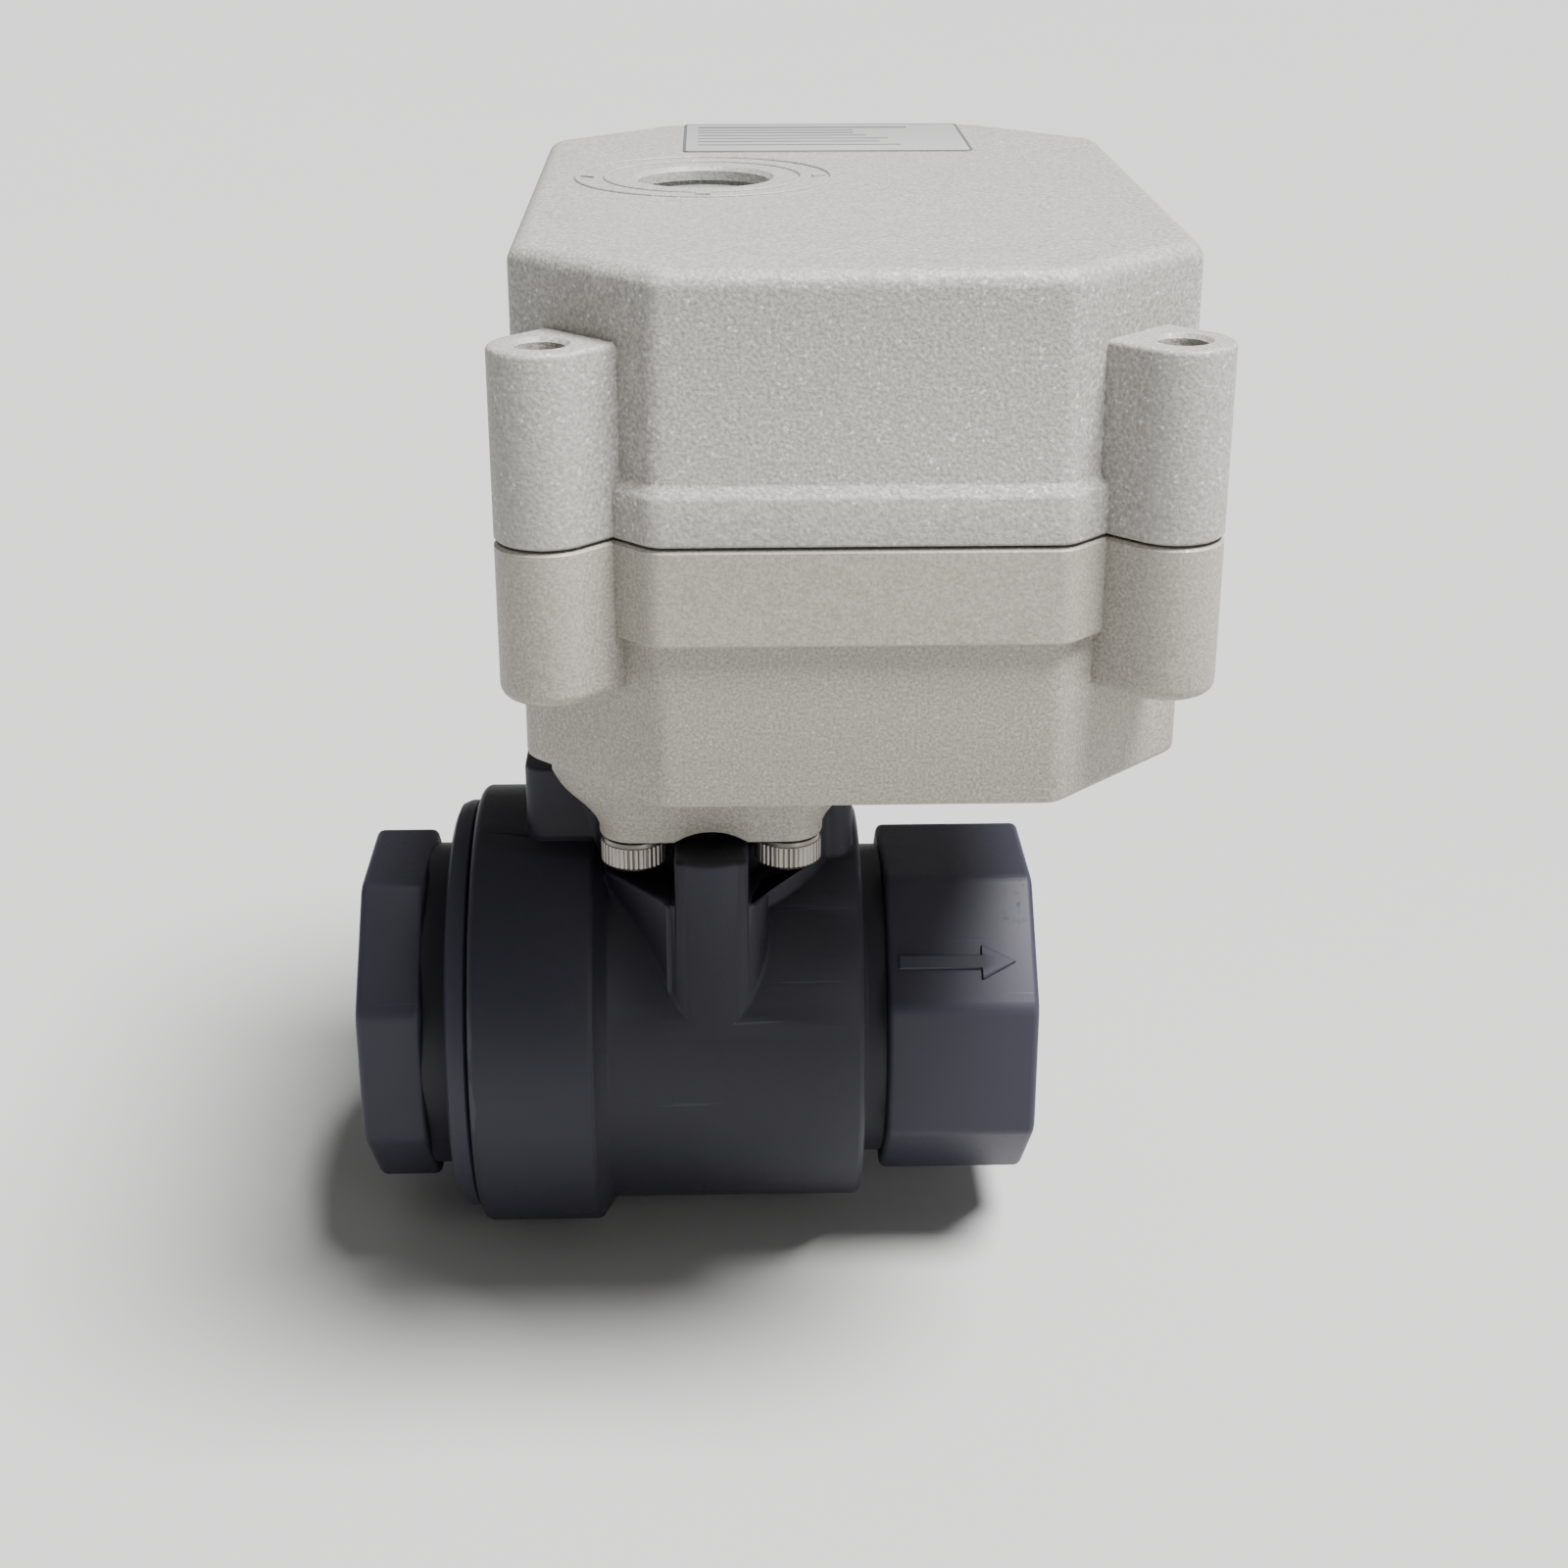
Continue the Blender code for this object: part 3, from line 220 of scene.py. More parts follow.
def cylinder(radius, low, high, x=0.0, y=0.0, steps=ROUND):
    """A round bar along Z."""
    return prism(circle(radius, steps, x, y), low, high)


def block(x0, x1, y0, y1, z0, z1):
    """A box between two corners."""
    return prism([(x0, y0), (x1, y0), (x1, y1), (x0, y1)], z0, z1)


def turned(profile, steps=ROUND, ring=False):
    """A solid turned about Z from (radius, height) points; a ring closes on itself."""
    return loft([(circle(radius, steps), height) for radius, height in profile], ring)


def edge(radius, start, end, centre, steps=4):
    """Points of a rounded edge as (radius, height), from one angle to another in degrees."""
    turns = [radians(start + (end - start) * i / steps) for i in range(steps + 1)]
    return [(centre[0] + radius * cos(t), centre[1] + radius * sin(t)) for t in turns]


def along_x(bm):
    """Turn a solid so that its Z axis points along X."""
    bm.transform(Matrix.Rotation(pi / 2, 4, "Y"))
    return bm


def along_y(bm):
    """Turn a solid so that its Z axis points along Y."""
    bm.transform(Matrix.Rotation(-pi / 2, 4, "X"))
    return bm


def moved(bm, x=0.0, y=0.0, z=0.0):
    """Shift a solid."""
    bm.transform(Matrix.Translation((x, y, z)))
    return bm


def temporary(bm):
    """An object for a bmesh, which it frees."""
    mesh = bpy.data.meshes.new("tool")
    bm.to_mesh(mesh)
    bm.free()
    result = bpy.data.objects.new("tool", mesh)
    bpy.context.scene.collection.objects.link(result)
    return result


def settle(target):
    """Apply the object's modifiers."""
    evaluated = target.evaluated_get(bpy.context.evaluated_depsgraph_get())
    mesh = bpy.data.meshes.new_from_object(evaluated)
    target.modifiers.clear()
    old = target.data
    target.data = mesh
    bpy.data.meshes.remove(old)


def discard(thing):
    """Remove an object and its mesh."""
    mesh = thing.data
    bpy.data.objects.remove(thing)
    bpy.data.meshes.remove(mesh)


def shape(base, add=(), cut=(), soft=0.0):
    """One solid: base with every solid in add, less every solid in cut, its edges then eased by soft."""
    target = temporary(base)
    for operation, solids in (("UNION", add), ("DIFFERENCE", cut)):
        for bm in solids:
            tool = temporary(bm)
            modifier = target.modifiers.new("Boolean", "BOOLEAN")
            modifier.operation = operation
            modifier.solver = "EXACT"
            modifier.object = tool
            settle(target)
            discard(tool)
    if soft:
        modifier = target.modifiers.new("Bevel", "BEVEL")
        modifier.width = soft
        modifier.segments = 3
        modifier.limit_method = "ANGLE"
        modifier.angle_limit = radians(38)
        modifier.use_clamp_overlap = False
        modifier.miter_outer = "MITER_ARC"
        settle(target)
    result = bmesh.new()
    result.from_mesh(target.data)
    discard(target)
    return result


def piece(name, bm, finish, body=ROOT, replaces=(), at=(0.0, 0.0, 0.0)):
    """A finished piece in metres, riding on its body and standing for its CAD nodes."""
    mesh = bpy.data.meshes.new(name)
    bm.to_mesh(mesh)
    bm.free()
    mesh.transform(Matrix.Scale(MM, 4))
    mesh.shade_smooth()
    mesh.set_sharp_from_angle(angle=SHARP)
    mesh.materials.append(finish)
    result = bpy.data.objects.new(name, mesh)
    result.location = [value * MM for value in at]
    bpy.context.scene.collection.objects.link(result)
    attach(result, body)
    if replaces:
        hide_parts(*replaces)
    return result


# ---- materials ----

class Paint:
    """A Principled material built up from procedural layers in object space."""

    def __init__(self, name, colour, roughness, metallic=0.0):
        self.material = bpy.data.materials.new(name)
        self.material.use_nodes = True
        self.material.diffuse_color = (*colour, 1.0)
        self.tree = self.material.node_tree
        self.shader = self.tree.nodes["Principled BSDF"]
        self.shader.inputs["Base Color"].default_value = (*colour, 1.0)
        self.shader.inputs["Roughness"].default_value = roughness
        self.shader.inputs["Metallic"].default_value = metallic
        self.space = self.node("ShaderNodeTexCoord").outputs["Object"]
        self.colour = None
        self.roughness = None
        self.height = None

    def node(self, kind, **settings):
        made = self.tree.nodes.new(kind)
        for key, value in settings.items():
            setattr(made, key, value)
        return made

    def feed(self, layer, plain, socket):
        """Join the layer so far to a socket, or copy the shader's plain value where there is none."""
        if layer is None:
            socket.default_value = self.shader.inputs[plain].default_value
        else:
            self.tree.links.new(layer, socket)

    def stretched(self, scale):
        mapping = self.node("ShaderNodeMapping")
        mapping.inputs["Scale"].default_value = scale
        self.tree.links.new(self.space, mapping.inputs["Vector"])
        return mapping.outputs["Vector"]

    def noise(self, scale, detail=3.0, stretch=None, distortion=0.0):
        made = self.node("ShaderNodeTexNoise")
        made.inputs["Scale"].default_value = scale
        made.inputs["Detail"].default_value = detail
        made.inputs["Distortion"].default_value = distortion
        self.tree.links.new(self.stretched(stretch) if stretch else self.space, made.inputs["Vector"])
        return made.outputs["Fac"]

    def cells(self, scale):
        made = self.node("ShaderNodeTexVoronoi")
        made.inputs["Scale"].default_value = scale
        self.tree.links.new(self.space, made.inputs["Vector"])
        return made.outputs["Color"]

    def ramp(self, factor, low, high, start=0.0, end=1.0):
        made = self.node("ShaderNodeMapRange")
        made.inputs["From Min"].default_value = low
        made.inputs["From Max"].default_value = high
        made.inputs["To Min"].default_value = start
        made.inputs["To Max"].default_value = end
        self.tree.links.new(factor, made.inputs["Value"])
        return made.outputs["Result"]

    # Mask of sharp convex edges from pointiness; the finishes use it to paint highlights on edges.
    def edges(self, low=0.51, high=0.56):
        geometry = self.node("ShaderNodeNewGeometry")
        return self.ramp(geometry.outputs["Pointiness"], low, high)

    def tint(self, factor, colour):
        """Mix a colour in where factor is high."""
        made = self.node("ShaderNodeMix", data_type="RGBA")
        self.tree.links.new(factor, made.inputs["Factor"])
        self.feed(self.colour, "Base Color", made.inputs["A"])
        made.inputs["B"].default_value = (*colour, 1.0)
        self.colour = made.outputs["Result"]
        return self

    def rough(self, factor, amount):
        """Add amount times factor to the roughness."""
        made = self.node("ShaderNodeMath", operation="MULTIPLY_ADD")
        self.tree.links.new(factor, made.inputs[0])
        made.inputs[1].default_value = amount
        self.feed(self.roughness, "Roughness", made.inputs[2])
        self.roughness = made.outputs[0]
        return self

    def raise_by(self, factor, amount):
        """Add a height, in units of the bump's own distance."""
        made = self.node("ShaderNodeMath", operation="MULTIPLY_ADD")
        self.tree.links.new(factor, made.inputs[0])
        made.inputs[1].default_value = amount
        made.inputs[2].default_value = 0.0
        if self.height is not None:
            self.tree.links.new(self.height, made.inputs[2])
        self.height = made.outputs[0]
        return self

    def done(self, bump=0.4, distance=0.0001):
        """Join the layers to the shader."""
        for layer, name in ((self.colour, "Base Color"), (self.roughness, "Roughness")):
            if layer is not None:
                self.tree.links.new(layer, self.shader.inputs[name])
        if self.height is not None:
            made = self.node("ShaderNodeBump")
            made.inputs["Strength"].default_value = bump
            made.inputs["Distance"].default_value = distance
            self.tree.links.new(self.height, made.inputs["Height"])
            self.tree.links.new(made.outputs["Normal"], self.shader.inputs["Normal"])
        return self.material


def shade(colour, by):
    """A colour made lighter or darker."""
    return tuple(min(1.0, c * by) for c in colour)


def moulded_grey(name, colour, roughness, grain, painted_glint_amount, bump):
    """Spark-eroded light grey moulding with a fine grain, small glints of light painted into it and painted
    highlights along its edges.
    """
    paint = Paint(name, colour, roughness)
    broad = paint.ramp(paint.noise(45, 4), 0.35, 0.65)
    paint.tint(paint.ramp(broad, 0, 1, 0, 0.35), shade(colour, 0.93))
    fine = paint.noise(grain, 2)
    paint.tint(paint.ramp(fine, 0.50, 0.70, 0, 0.75), shade(colour, 1.40))
    paint.tint(paint.ramp(fine, 0.50, 0.32, 0, 0.70), shade(colour, 0.62))
    # Painted glints: small cells tinted lighter stand in for sparkles of light; the same cells are also made
    # glossier.
    painted_glint_and_gloss = paint.ramp(paint.cells(grain * 1.4), 0.82, 0.94)
    paint.tint(paint.ramp(painted_glint_and_gloss, 0, 1, 0, painted_glint_amount), (0.72, 0.71, 0.66))
    # Painted highlight: sharp convex edges tinted lighter, as if catching light.
    paint.tint(paint.ramp(paint.edges(), 0, 1, 0, 0.30), shade(colour, 1.18))
    grime = paint.ramp(paint.noise(160, 5, distortion=0.6), 0.62, 0.78)
    paint.tint(paint.ramp(grime, 0, 1, 0, 0.25), shade(colour, 0.80))
    paint.rough(painted_glint_and_gloss, -0.22).rough(broad, 0.06)
    paint.raise_by(fine, 1.0).raise_by(paint.noise(grain * 0.4, 3), 0.8)
    return paint.done(bump, 0.00016)


def dark_plastic(name, colour, roughness):
    """Satin pipe plastic with faint flow marks, hairline scratches and painted highlights along its edges."""
    paint = Paint(name, colour, roughness)
    flow = paint.noise(28, 5, stretch=(1.0, 0.35, 0.35), distortion=1.2)
    paint.tint(paint.ramp(flow, 0.40, 0.68, 0, 0.55), shade(colour, 1.55))
    dust = paint.ramp(paint.noise(900, 3), 0.60, 0.74)
    paint.tint(paint.ramp(dust, 0, 1, 0, 0.30), shade(colour, 2.2))
    lines = paint.ramp(paint.noise(42, 2, stretch=(1.0, 45.0, 24.0), distortion=0.3), 0.735, 0.76)
    paint.tint(paint.ramp(lines, 0, 1, 0, 0.30), shade(colour, 5.0))
    # Painted highlight: sharp edges tinted much lighter, standing in for light caught along them.
    paint.tint(paint.ramp(paint.edges(), 0, 1, 0, 0.50), shade(colour, 5.0))
    paint.rough(flow, 0.10).rough(dust, 0.12)
    paint.raise_by(paint.noise(1300, 3), 0.5).raise_by(lines, -0.6).raise_by(flow, 1.0)
    paint.shader.inputs["Specular IOR Level"].default_value = 0.28
    return paint.done(0.22, 0.0001)


def metal(name, colour, roughness, stretch):
    """Machined metal with tool marks along one direction and slight staining."""
    paint = Paint(name, colour, roughness, 1.0)
    marks = paint.noise(420, 4, stretch=stretch)
    paint.tint(paint.ramp(marks, 0.40, 0.66, 0, 0.45), shade(colour, 0.72))
    stain = paint.ramp(paint.noise(140, 4), 0.55, 0.75)
    paint.tint(paint.ramp(stain, 0, 1, 0, 0.30), shade(colour, 0.62))
    paint.rough(marks, 0.16).rough(stain, 0.12)
    paint.raise_by(marks, 1.0)
    return paint.done(0.18, 0.00006)


def plain_plastic(name, colour, roughness, grain_and_edge_highlight=1.4):
    """Small moulded part: fine grain, a little tone and edges painted lighter as highlights."""
    paint = Paint(name, colour, roughness)
    tone = paint.noise(220, 4)
    paint.tint(paint.ramp(tone, 0.38, 0.66, 0, 0.40), shade(colour, 0.82))
    fine = paint.noise(1900, 2)
    paint.tint(paint.ramp(fine, 0.5, 0.7, 0, 0.30), shade(colour, grain_and_edge_highlight))
    # Painted highlight: sharp edges tinted lighter by the same factor as the grain.
    paint.tint(paint.ramp(paint.edges(), 0, 1, 0, 0.30), shade(colour, grain_and_edge_highlight))
    paint.rough(tone, 0.12)
    paint.raise_by(fine, 1.0)
    return paint.done(0.16, 0.00008)


def clear_lens(name):
    """Clear moulded window, slightly frosted by handling."""
    paint = Paint(name, (0.86, 0.89, 0.90), 0.05)
    haze = paint.noise(260, 4)
    paint.rough(paint.ramp(haze, 0.45, 0.75), 0.18)
    paint.raise_by(paint.noise(90, 2), 0.5)
    paint.shader.inputs["Alpha"].default_value = 0.22
    return paint.done(0.05, 0.0001)


def silver_film(name):
    """Matt silver label film with brushed grain and tiny creases."""
    colour = (0.40, 0.40, 0.395)
    paint = Paint(name, colour, 0.36, 0.25)
    brushed = paint.noise(900, 2, stretch=(0.05, 1.0, 1.0))
    paint.tint(paint.ramp(brushed, 0.4, 0.7, 0, 0.5), shade(colour, 0.86))
    crease = paint.noise(70, 3, distortion=0.8)
    paint.tint(paint.ramp(crease, 0.45, 0.7, 0, 0.3), shade(colour, 1.15))
    paint.rough(brushed, 0.15)
    paint.raise_by(crease, 1.0)
    return paint.done(0.10, 0.0001)


LENGTHWISE, ROUNDWISE = (1.0, 1.0, 0.06), (0.08, 1.0, 1.0)
FINISHES = {
    "cover_grey": moulded_grey("cover_grey_grain", (0.300, 0.289, 0.265), 0.50, 2400, 0.55, 0.55),
    "base_grey": moulded_grey("base_grey_grain", (0.292, 0.272, 0.233), 0.46, 3200, 0.25, 0.22),
    "valve_plastic": dark_plastic("valve_plastic_satin", (0.0115, 0.0112, 0.0170), 0.44),
    "stainless": metal("stainless_turned", (0.30, 0.275, 0.25), 0.26, LENGTHWISE),
    "steel": metal("steel_plain", (0.55, 0.55, 0.56), 0.30, ROUNDWISE),
    "brass": metal("brass_machined", (0.74, 0.54, 0.25), 0.28, LENGTHWISE),
    "seat_plastic": plain_plastic("seat_white", (0.82, 0.82, 0.80), 0.38, 1.05),
    "rubber": plain_plastic("rubber_black", (0.022, 0.022, 0.022), 0.70, 2.2),
    "gear_plastic": plain_plastic("acetal_natural", (0.78, 0.77, 0.72), 0.36, 1.08),
    "lens": clear_lens("lens_clear"),
    "label": silver_film("label_film"),
    "dial": plain_plastic("dial_grey", (0.085, 0.088, 0.09), 0.42, 1.4),
    "board": plain_plastic("board_green", (0.025, 0.16, 0.07), 0.35, 1.6),
    "switch_body": plain_plastic("switch_black", (0.028, 0.028, 0.032), 0.42, 2.0),
    "plunger_red": plain_plastic("plunger_red_gloss", (0.55, 0.04, 0.03), 0.30, 1.3),
    "relay_blue": plain_plastic("relay_blue_matt", (0.04, 0.13, 0.40), 0.38, 1.5),
    "terminal_green": plain_plastic("terminal_green_matt", (0.04, 0.28, 0.11), 0.42, 1.5),
    "gland_grey": plain_plastic("gland_grey_matt", (0.28, 0.285, 0.29), 0.46, 1.3),
}


def finish_cad_nodes():
    """Give every CAD node the finish of its own slot."""
    slots = {row["node"]: row["material_slot"] for row in frame["record"]["subparts"]}
    for name, node in frame["nodes"].items():
        node.data.materials.clear()
        node.data.materials.append(FINISHES[slots[name]])


# ---- housing ----

def make_cover():
    """The upper shell: rounded top edge, sloped lip, counterbored bosses and the window."""
    low = SEAM + SEAM_GAP
    lip_top = SEAM + LIP_HEIGHT
    high = SEAM + BOSS_HIGH
    sections = [(housing(LIP - 0.3), low), (housing(LIP), low + 0.3), (housing(LIP), lip_top - 0.35),
                (housing(LIP - 0.12), lip_top), (housing(0.12), lip_top + 0.85), (housing(), lip_top + 1.2)]
    sections += [(housing(x), z) for x, z in edge(TOP_EDGE_R, 0, 90, (-TOP_EDGE_R, TOP - TOP_EDGE_R), 7)]
    bosses = []
    for corner in CORNERS:
        rows = [(boss(*corner, -0.3), low), (boss(*corner), low + 0.3)]
        rows += [(boss(*corner, x), z) for x, z in edge(0.6, 0, 90, (-0.6, high - 0.6))]
        bosses.append(loft(rows))
    window = (-HOUSING_X, -HOUSING_Y)
    rim = [(WINDOW_R, TOP - THROUGH), (WINDOW_R, TOP - 0.5), (WINDOW_R + 0.5, TOP), (WINDOW_R + 2.5, TOP + 2)]
    cuts = [prism(housing(-WALL), low - THROUGH, TOP - WALL),
            loft([(circle(radius, 64, *window), height) for radius, height in rim]),
            cylinder(lens_high.x + GAP, lens_low.z - THROUGH, lens_high.z + GAP, *window, steps=64)]
    for sx, sy in CORNERS:
        x, y = sx * BOSS_X, sy * BOSS_Y
        cuts.append(cylinder(SCREW_HOLE_R, low - THROUGH, high, x, y, steps=SMALL))
        bore = [(COUNTERBORE_R, high - COUNTERBORE_DEPTH), (COUNTERBORE_R, high - 0.45),
                (COUNTERBORE_R + 0.5, high + 0.05)]
        cuts.append(loft([(circle(radius, 40, x, y), height) for radius, height in bore]))
    shell = shape(loft(sections), bosses, cuts)
    piece("cover_shell", shell, FINISHES["cover_grey"], replaces=["top_cover"],
          at=(HOUSING_X, HOUSING_Y, 0))


def make_base():
    """The lower shell: lip above a recessed wall, and bosses with round lower ends."""
    top = SEAM - SEAM_GAP
    step = SEAM - STEP_DROP
    sections = [(housing(x), z) for x, z in edge(0.8, -90, 0, (-0.8, BOTTOM + 0.8), 3)]
    sections += [(housing(), step - 0.02), (housing(LIP - 0.25), step), (housing(LIP), step + 0.25),
                 (housing(LIP), top - 0.3), (housing(LIP - 0.3), top)]
    low = SEAM - BOSS_LOW
    bosses = []
    for corner in CORNERS:
        round_end = edge(BOSS_EDGE_R, -90, 0, (-BOSS_EDGE_R, low + BOSS_EDGE_R), 5)
        rows = [(boss(*corner, x), z) for x, z in round_end]
        rows += [(boss(*corner), top - 0.3), (boss(*corner, -0.3), top)]
        bosses.append(loft(rows))
    centre = (-HOUSING_X, -HOUSING_Y)
    gland_low, gland_high = node_box("cable_gland_body")
    gland = ((gland_low.x + gland_high.x) / 2 - HOUSING_X, (gland_low.z + gland_high.z) / 2)
    gland_hole = along_y(cylinder(GLAND_BORE_R, HALF_Y - WALL - THROUGH, HALF_Y + THROUGH, steps=40))
    cuts = [prism(housing(-WALL), BOTTOM + FLOOR_THICK, top + THROUGH),
            cylinder(BUSH_BORE_R, BOTTOM - THROUGH, BOTTOM + THROUGH, *centre, steps=64),
            moved(gland_hole, x=gland[0], z=gland[1])]
    for sx, sy in CORNERS:
        cuts.append(cylinder(MOUNT_R + GAP, BOTTOM - THROUGH, BOTTOM + THROUGH,
                             centre[0] + sx * LOBE_X, centre[1] + sy * LOBE_Y, steps=SMALL))
        cuts.append(cylinder(SCREW_HOLE_R, low + 3, top + THROUGH, sx * BOSS_X, sy * BOSS_Y, steps=SMALL))
    shell = shape(loft(sections), bosses, cuts)
    piece("base_shell", shell, FINISHES["base_grey"], replaces=["base_housing"],
          at=(HOUSING_X, HOUSING_Y, 0))


def make_window():
    """The domed lens, the two fine rings round it, and its three position marks."""
    depth = lens_high.z - lens_low.z
    radius = lens_high.x
    flange = [(AXIS_R, 0), (radius - 0.2, 0), (radius, 0.2), (radius, depth - 0.5)]
    dome = [(WINDOW_R - 0.4, depth - 0.5), (WINDOW_R - 0.7, depth - 0.12), (WINDOW_R - 3, depth - 0.03),
            (AXIS_R, depth)]
    lens = turned(flange + dome, 64)
    piece("lens", lens, FINISHES["lens"], replaces=["window_lens"], at=(0, 0, lens_low.z))
    rise, sunk = 0.2, -0.3
    for name, middle, half in (("window_ring", WINDOW_RING_R, 0.26), ("window_arc", WINDOW_ARC_R, 0.18)):
        outer = [(middle + half, sunk), (middle + half, rise / 2), (middle + half / 2, rise)]
        inner = [(middle - half / 2, rise), (middle - half, rise / 2)]
        ring = turned([(middle - half, sunk)] + outer + inner, ROUND, True)
        piece(name, ring, FINISHES["cover_grey"], at=(0, 0, TOP))
    triangle, square = [(0, -0.9), (1.6, 0), (0, 0.9)], [(sx * 0.8, sy * 0.8) for sx, sy in CORNERS]
    outwards = Matrix.Translation((WINDOW_ARC_R - 2.2, 0, 0))
    for number, (turn, outline) in enumerate(((180, triangle), (270, square), (0, triangle)), start=1):
        mark = prism(outline, sunk, rise)
        mark.transform(Matrix.Rotation(radians(turn), 4, "Z") @ outwards)
        piece(f"window_mark_{number}", mark, FINISHES["cover_grey"], at=(0, 0, TOP))


def make_dial():
    """The indicator's disc and its pale pointer, which turn with the output."""
    radius = (dial_high.x - dial_low.x) / 2
    disc_h = dial_high.z - dial_low.z - POINTER_H
    disc = turned([(radius, 0), (radius, disc_h - 0.3), (radius - 0.3, disc_h)], 64)
    piece("dial_disc", disc, FINISHES["dial"], "output_drive", ["indicator_dial"], (0, 0, dial_low.z))
    outline = [(-1.2, -7.5), (1.2, -7.5), (1.2, 3.5), (3.0, 3.5), (0, 7.8), (-3.0, 3.5), (-1.2, 3.5)]
    pointer = loft([(outline, disc_h - 0.4), (outline, disc_h + POINTER_H - 0.1),
                    ([(x * 0.93, y * 0.97) for x, y in outline], disc_h + POINTER_H)])
    piece("dial_pointer", pointer, FINISHES["seat_plastic"], "output_drive", at=(0, 0, dial_low.z))


def make_label():
    """The film label, with plain bars where a maker would print."""
    x, y = (label_low.x + label_high.x) / 2, (label_low.y + label_high.y) / 2
    half_x, half_y = (label_high.x - label_low.x) / 2, (label_high.y - label_low.y) / 2
    outline = rounded(half_x, half_y, 0.8)
    film = loft([(outline, 0.0), (outline, 0.10), (rounded(half_x - 0.05, half_y - 0.05, 0.8), 0.13)])
    piece("label_film", film, FINISHES["label"], replaces=["rating_label"], at=(x, y, TOP + 0.02))
    thin, thick_bar = 0.5, 0.9
    rows = [(0.62, 0.72, thick_bar), (0.22, 0.50, thin), (0.22, 0.32, thin), (0.30, 0.12, thin),
            (0.45, -0.10, thin), (0.38, -0.32, thin), (0.52, -0.56, thin)]
    bars = bmesh.new()
    for end, row, thick in rows:
        left = -0.90 * half_x
        right = end * half_x
        middle = row * half_y
        bar = block(left, right, middle - thick / 2, middle + thick / 2, 0.14, 0.16)
        mesh = bpy.data.meshes.new("bar")
        bar.to_mesh(mesh)
        bar.free()
        bars.from_mesh(mesh)
        bpy.data.meshes.remove(mesh)
    piece("label_bars", bars, FINISHES["dial"], at=(x, y, TOP + 0.02))
    border = [(outline, 0.12), (outline, 0.15)]
    inner = rounded(half_x - 0.35, half_y - 0.35, 0.6)
    frame_line = loft(border + [(inner, 0.15), (inner, 0.12)], ring=True)
    piece("label_border", frame_line, FINISHES["dial"], at=(x, y, TOP + 0.02))


# ---- foot and screws ----

def make_foot():
    """The flared foot with its lobes and the arch between them."""
    rows = [(rounded(FOOT_HALF_X + grow, FOOT_HALF_Y + grow, LOBE_R + grow), height)
            for grow, height in edge(0.5, -90, 0, (-0.5, FOOT_LOW + 0.5), 2)]
    steps = 10
    for i in range(steps + 1):
        t = i / steps
        ease = t - 0.06 * sin(2 * pi * t)
        x = FOOT_HALF_X + (FOOT_FLARE_X - FOOT_HALF_X) * ease
        y = FOOT_HALF_Y + (FOOT_FLARE_Y - FOOT_HALF_Y) * ease
        height = FOOT_LOBE_H + (FOOT_FLARE_H - FOOT_LOBE_H) * t
        rows.append((rounded(x, y, LOBE_R + 0.8 * t), FOOT_LOW + height))
    rows.append((rounded(FOOT_FLARE_X, FOOT_FLARE_Y, LOBE_R + 0.8), foot_high.z))
    reach = 2 * FOOT_FLARE_Y
    arch = moved(along_y(cylinder(ARCH_R, -reach, reach, steps=80)), z=FOOT_LOW - ARCH_DROP)
    cuts = [arch, cylinder(FOOT_CAVITY_R, FOOT_LOW + FOOT_FLOOR_H, BOTTOM + THROUGH, steps=64),
            cylinder(SPIGOT_R + GAP, FOOT_LOW - THROUGH, FOOT_LOW + FOOT_FLOOR_H + THROUGH, steps=64)]
    cuts += [cylinder(MOUNT_R + GAP, FOOT_LOW - THROUGH, BOTTOM + THROUGH, sx * LOBE_X, sy * LOBE_Y, SMALL)
             for sx, sy in CORNERS]
    piece("foot", shape(loft(rows), cut=cuts), FINISHES["base_grey"], replaces=["mounting_foot"])


def make_mount_screws():
    """Knurled socket heads on plain shanks, one for each screw of the foot."""
    knurl = []
    for i in range(KNURL_TEETH):
        for share, radius in ((0.0, -KNURL_DEPTH), (0.28, 0.0), (0.72, 0.0)):
            turn = 2 * pi * (i + share) / KNURL_TEETH
            knurl.append(((MOUNT_HEAD_R + radius) * cos(turn), (MOUNT_HEAD_R + radius) * sin(turn)))
    count = len(knurl)
    low = -MOUNT_HEAD_H
    head = loft([(circle(MOUNT_HEAD_R - 0.75, count), low), (circle(MOUNT_HEAD_R - 0.35, count), low + 0.12),
                 (circle(MOUNT_HEAD_R - 0.18, count), low + 0.42), (knurl, low + 0.5), (knurl, -0.55),
                 (circle(MOUNT_HEAD_R - 0.18, count), -0.45), (circle(MOUNT_HEAD_R - 0.3, count), 0.0)])
    first_low, first_high = node_box("mount_screw_1")
    length = first_high.z - first_low.z - MOUNT_HEAD_H
    shank = turned([(MOUNT_R, -0.5), (MOUNT_R, length - 0.7), (MOUNT_R - 0.7, length)], SMALL)
    socket = prism(polygon(SOCKET_FLAT, 6), low - 1, low + SOCKET_DEPTH)
    screw = shape(head, [shank], [socket])
    mesh = bpy.data.meshes.new("socket_screw")
    screw.to_mesh(mesh)
    screw.free()
    for number in range(1, 5):
        node = f"mount_screw_{number}"
        node_low, node_high = node_box(node)
        copy = bmesh.new()
        copy.from_mesh(mesh)
        place = ((node_low.x + node_high.x) / 2, (node_low.y + node_high.y) / 2, node_low.z + MOUNT_HEAD_H)
        piece(f"socket_screw_{number}", copy, FINISHES["stainless"], replaces=[node], at=place)
    bpy.data.meshes.remove(mesh)


# ---- valve ----

def octagon_end(left, right):
    """An octagonal wrench end along X with eased corners and end faces."""
    radius = 0.9
    profile = edge(radius, -90, 0, (-radius, left + radius), 3)
    profile += edge(radius, 0, 90, (-radius, right - radius), 3)
    return along_x(loft([(soften(polygon(OCT_HALF + grow, 8), 1.1, 4), height) for grow, height in profile]))


def x_bore(radius, left, right):
    """A round cutter along X."""
    return along_x(cylinder(radius, left, right, steps=80))


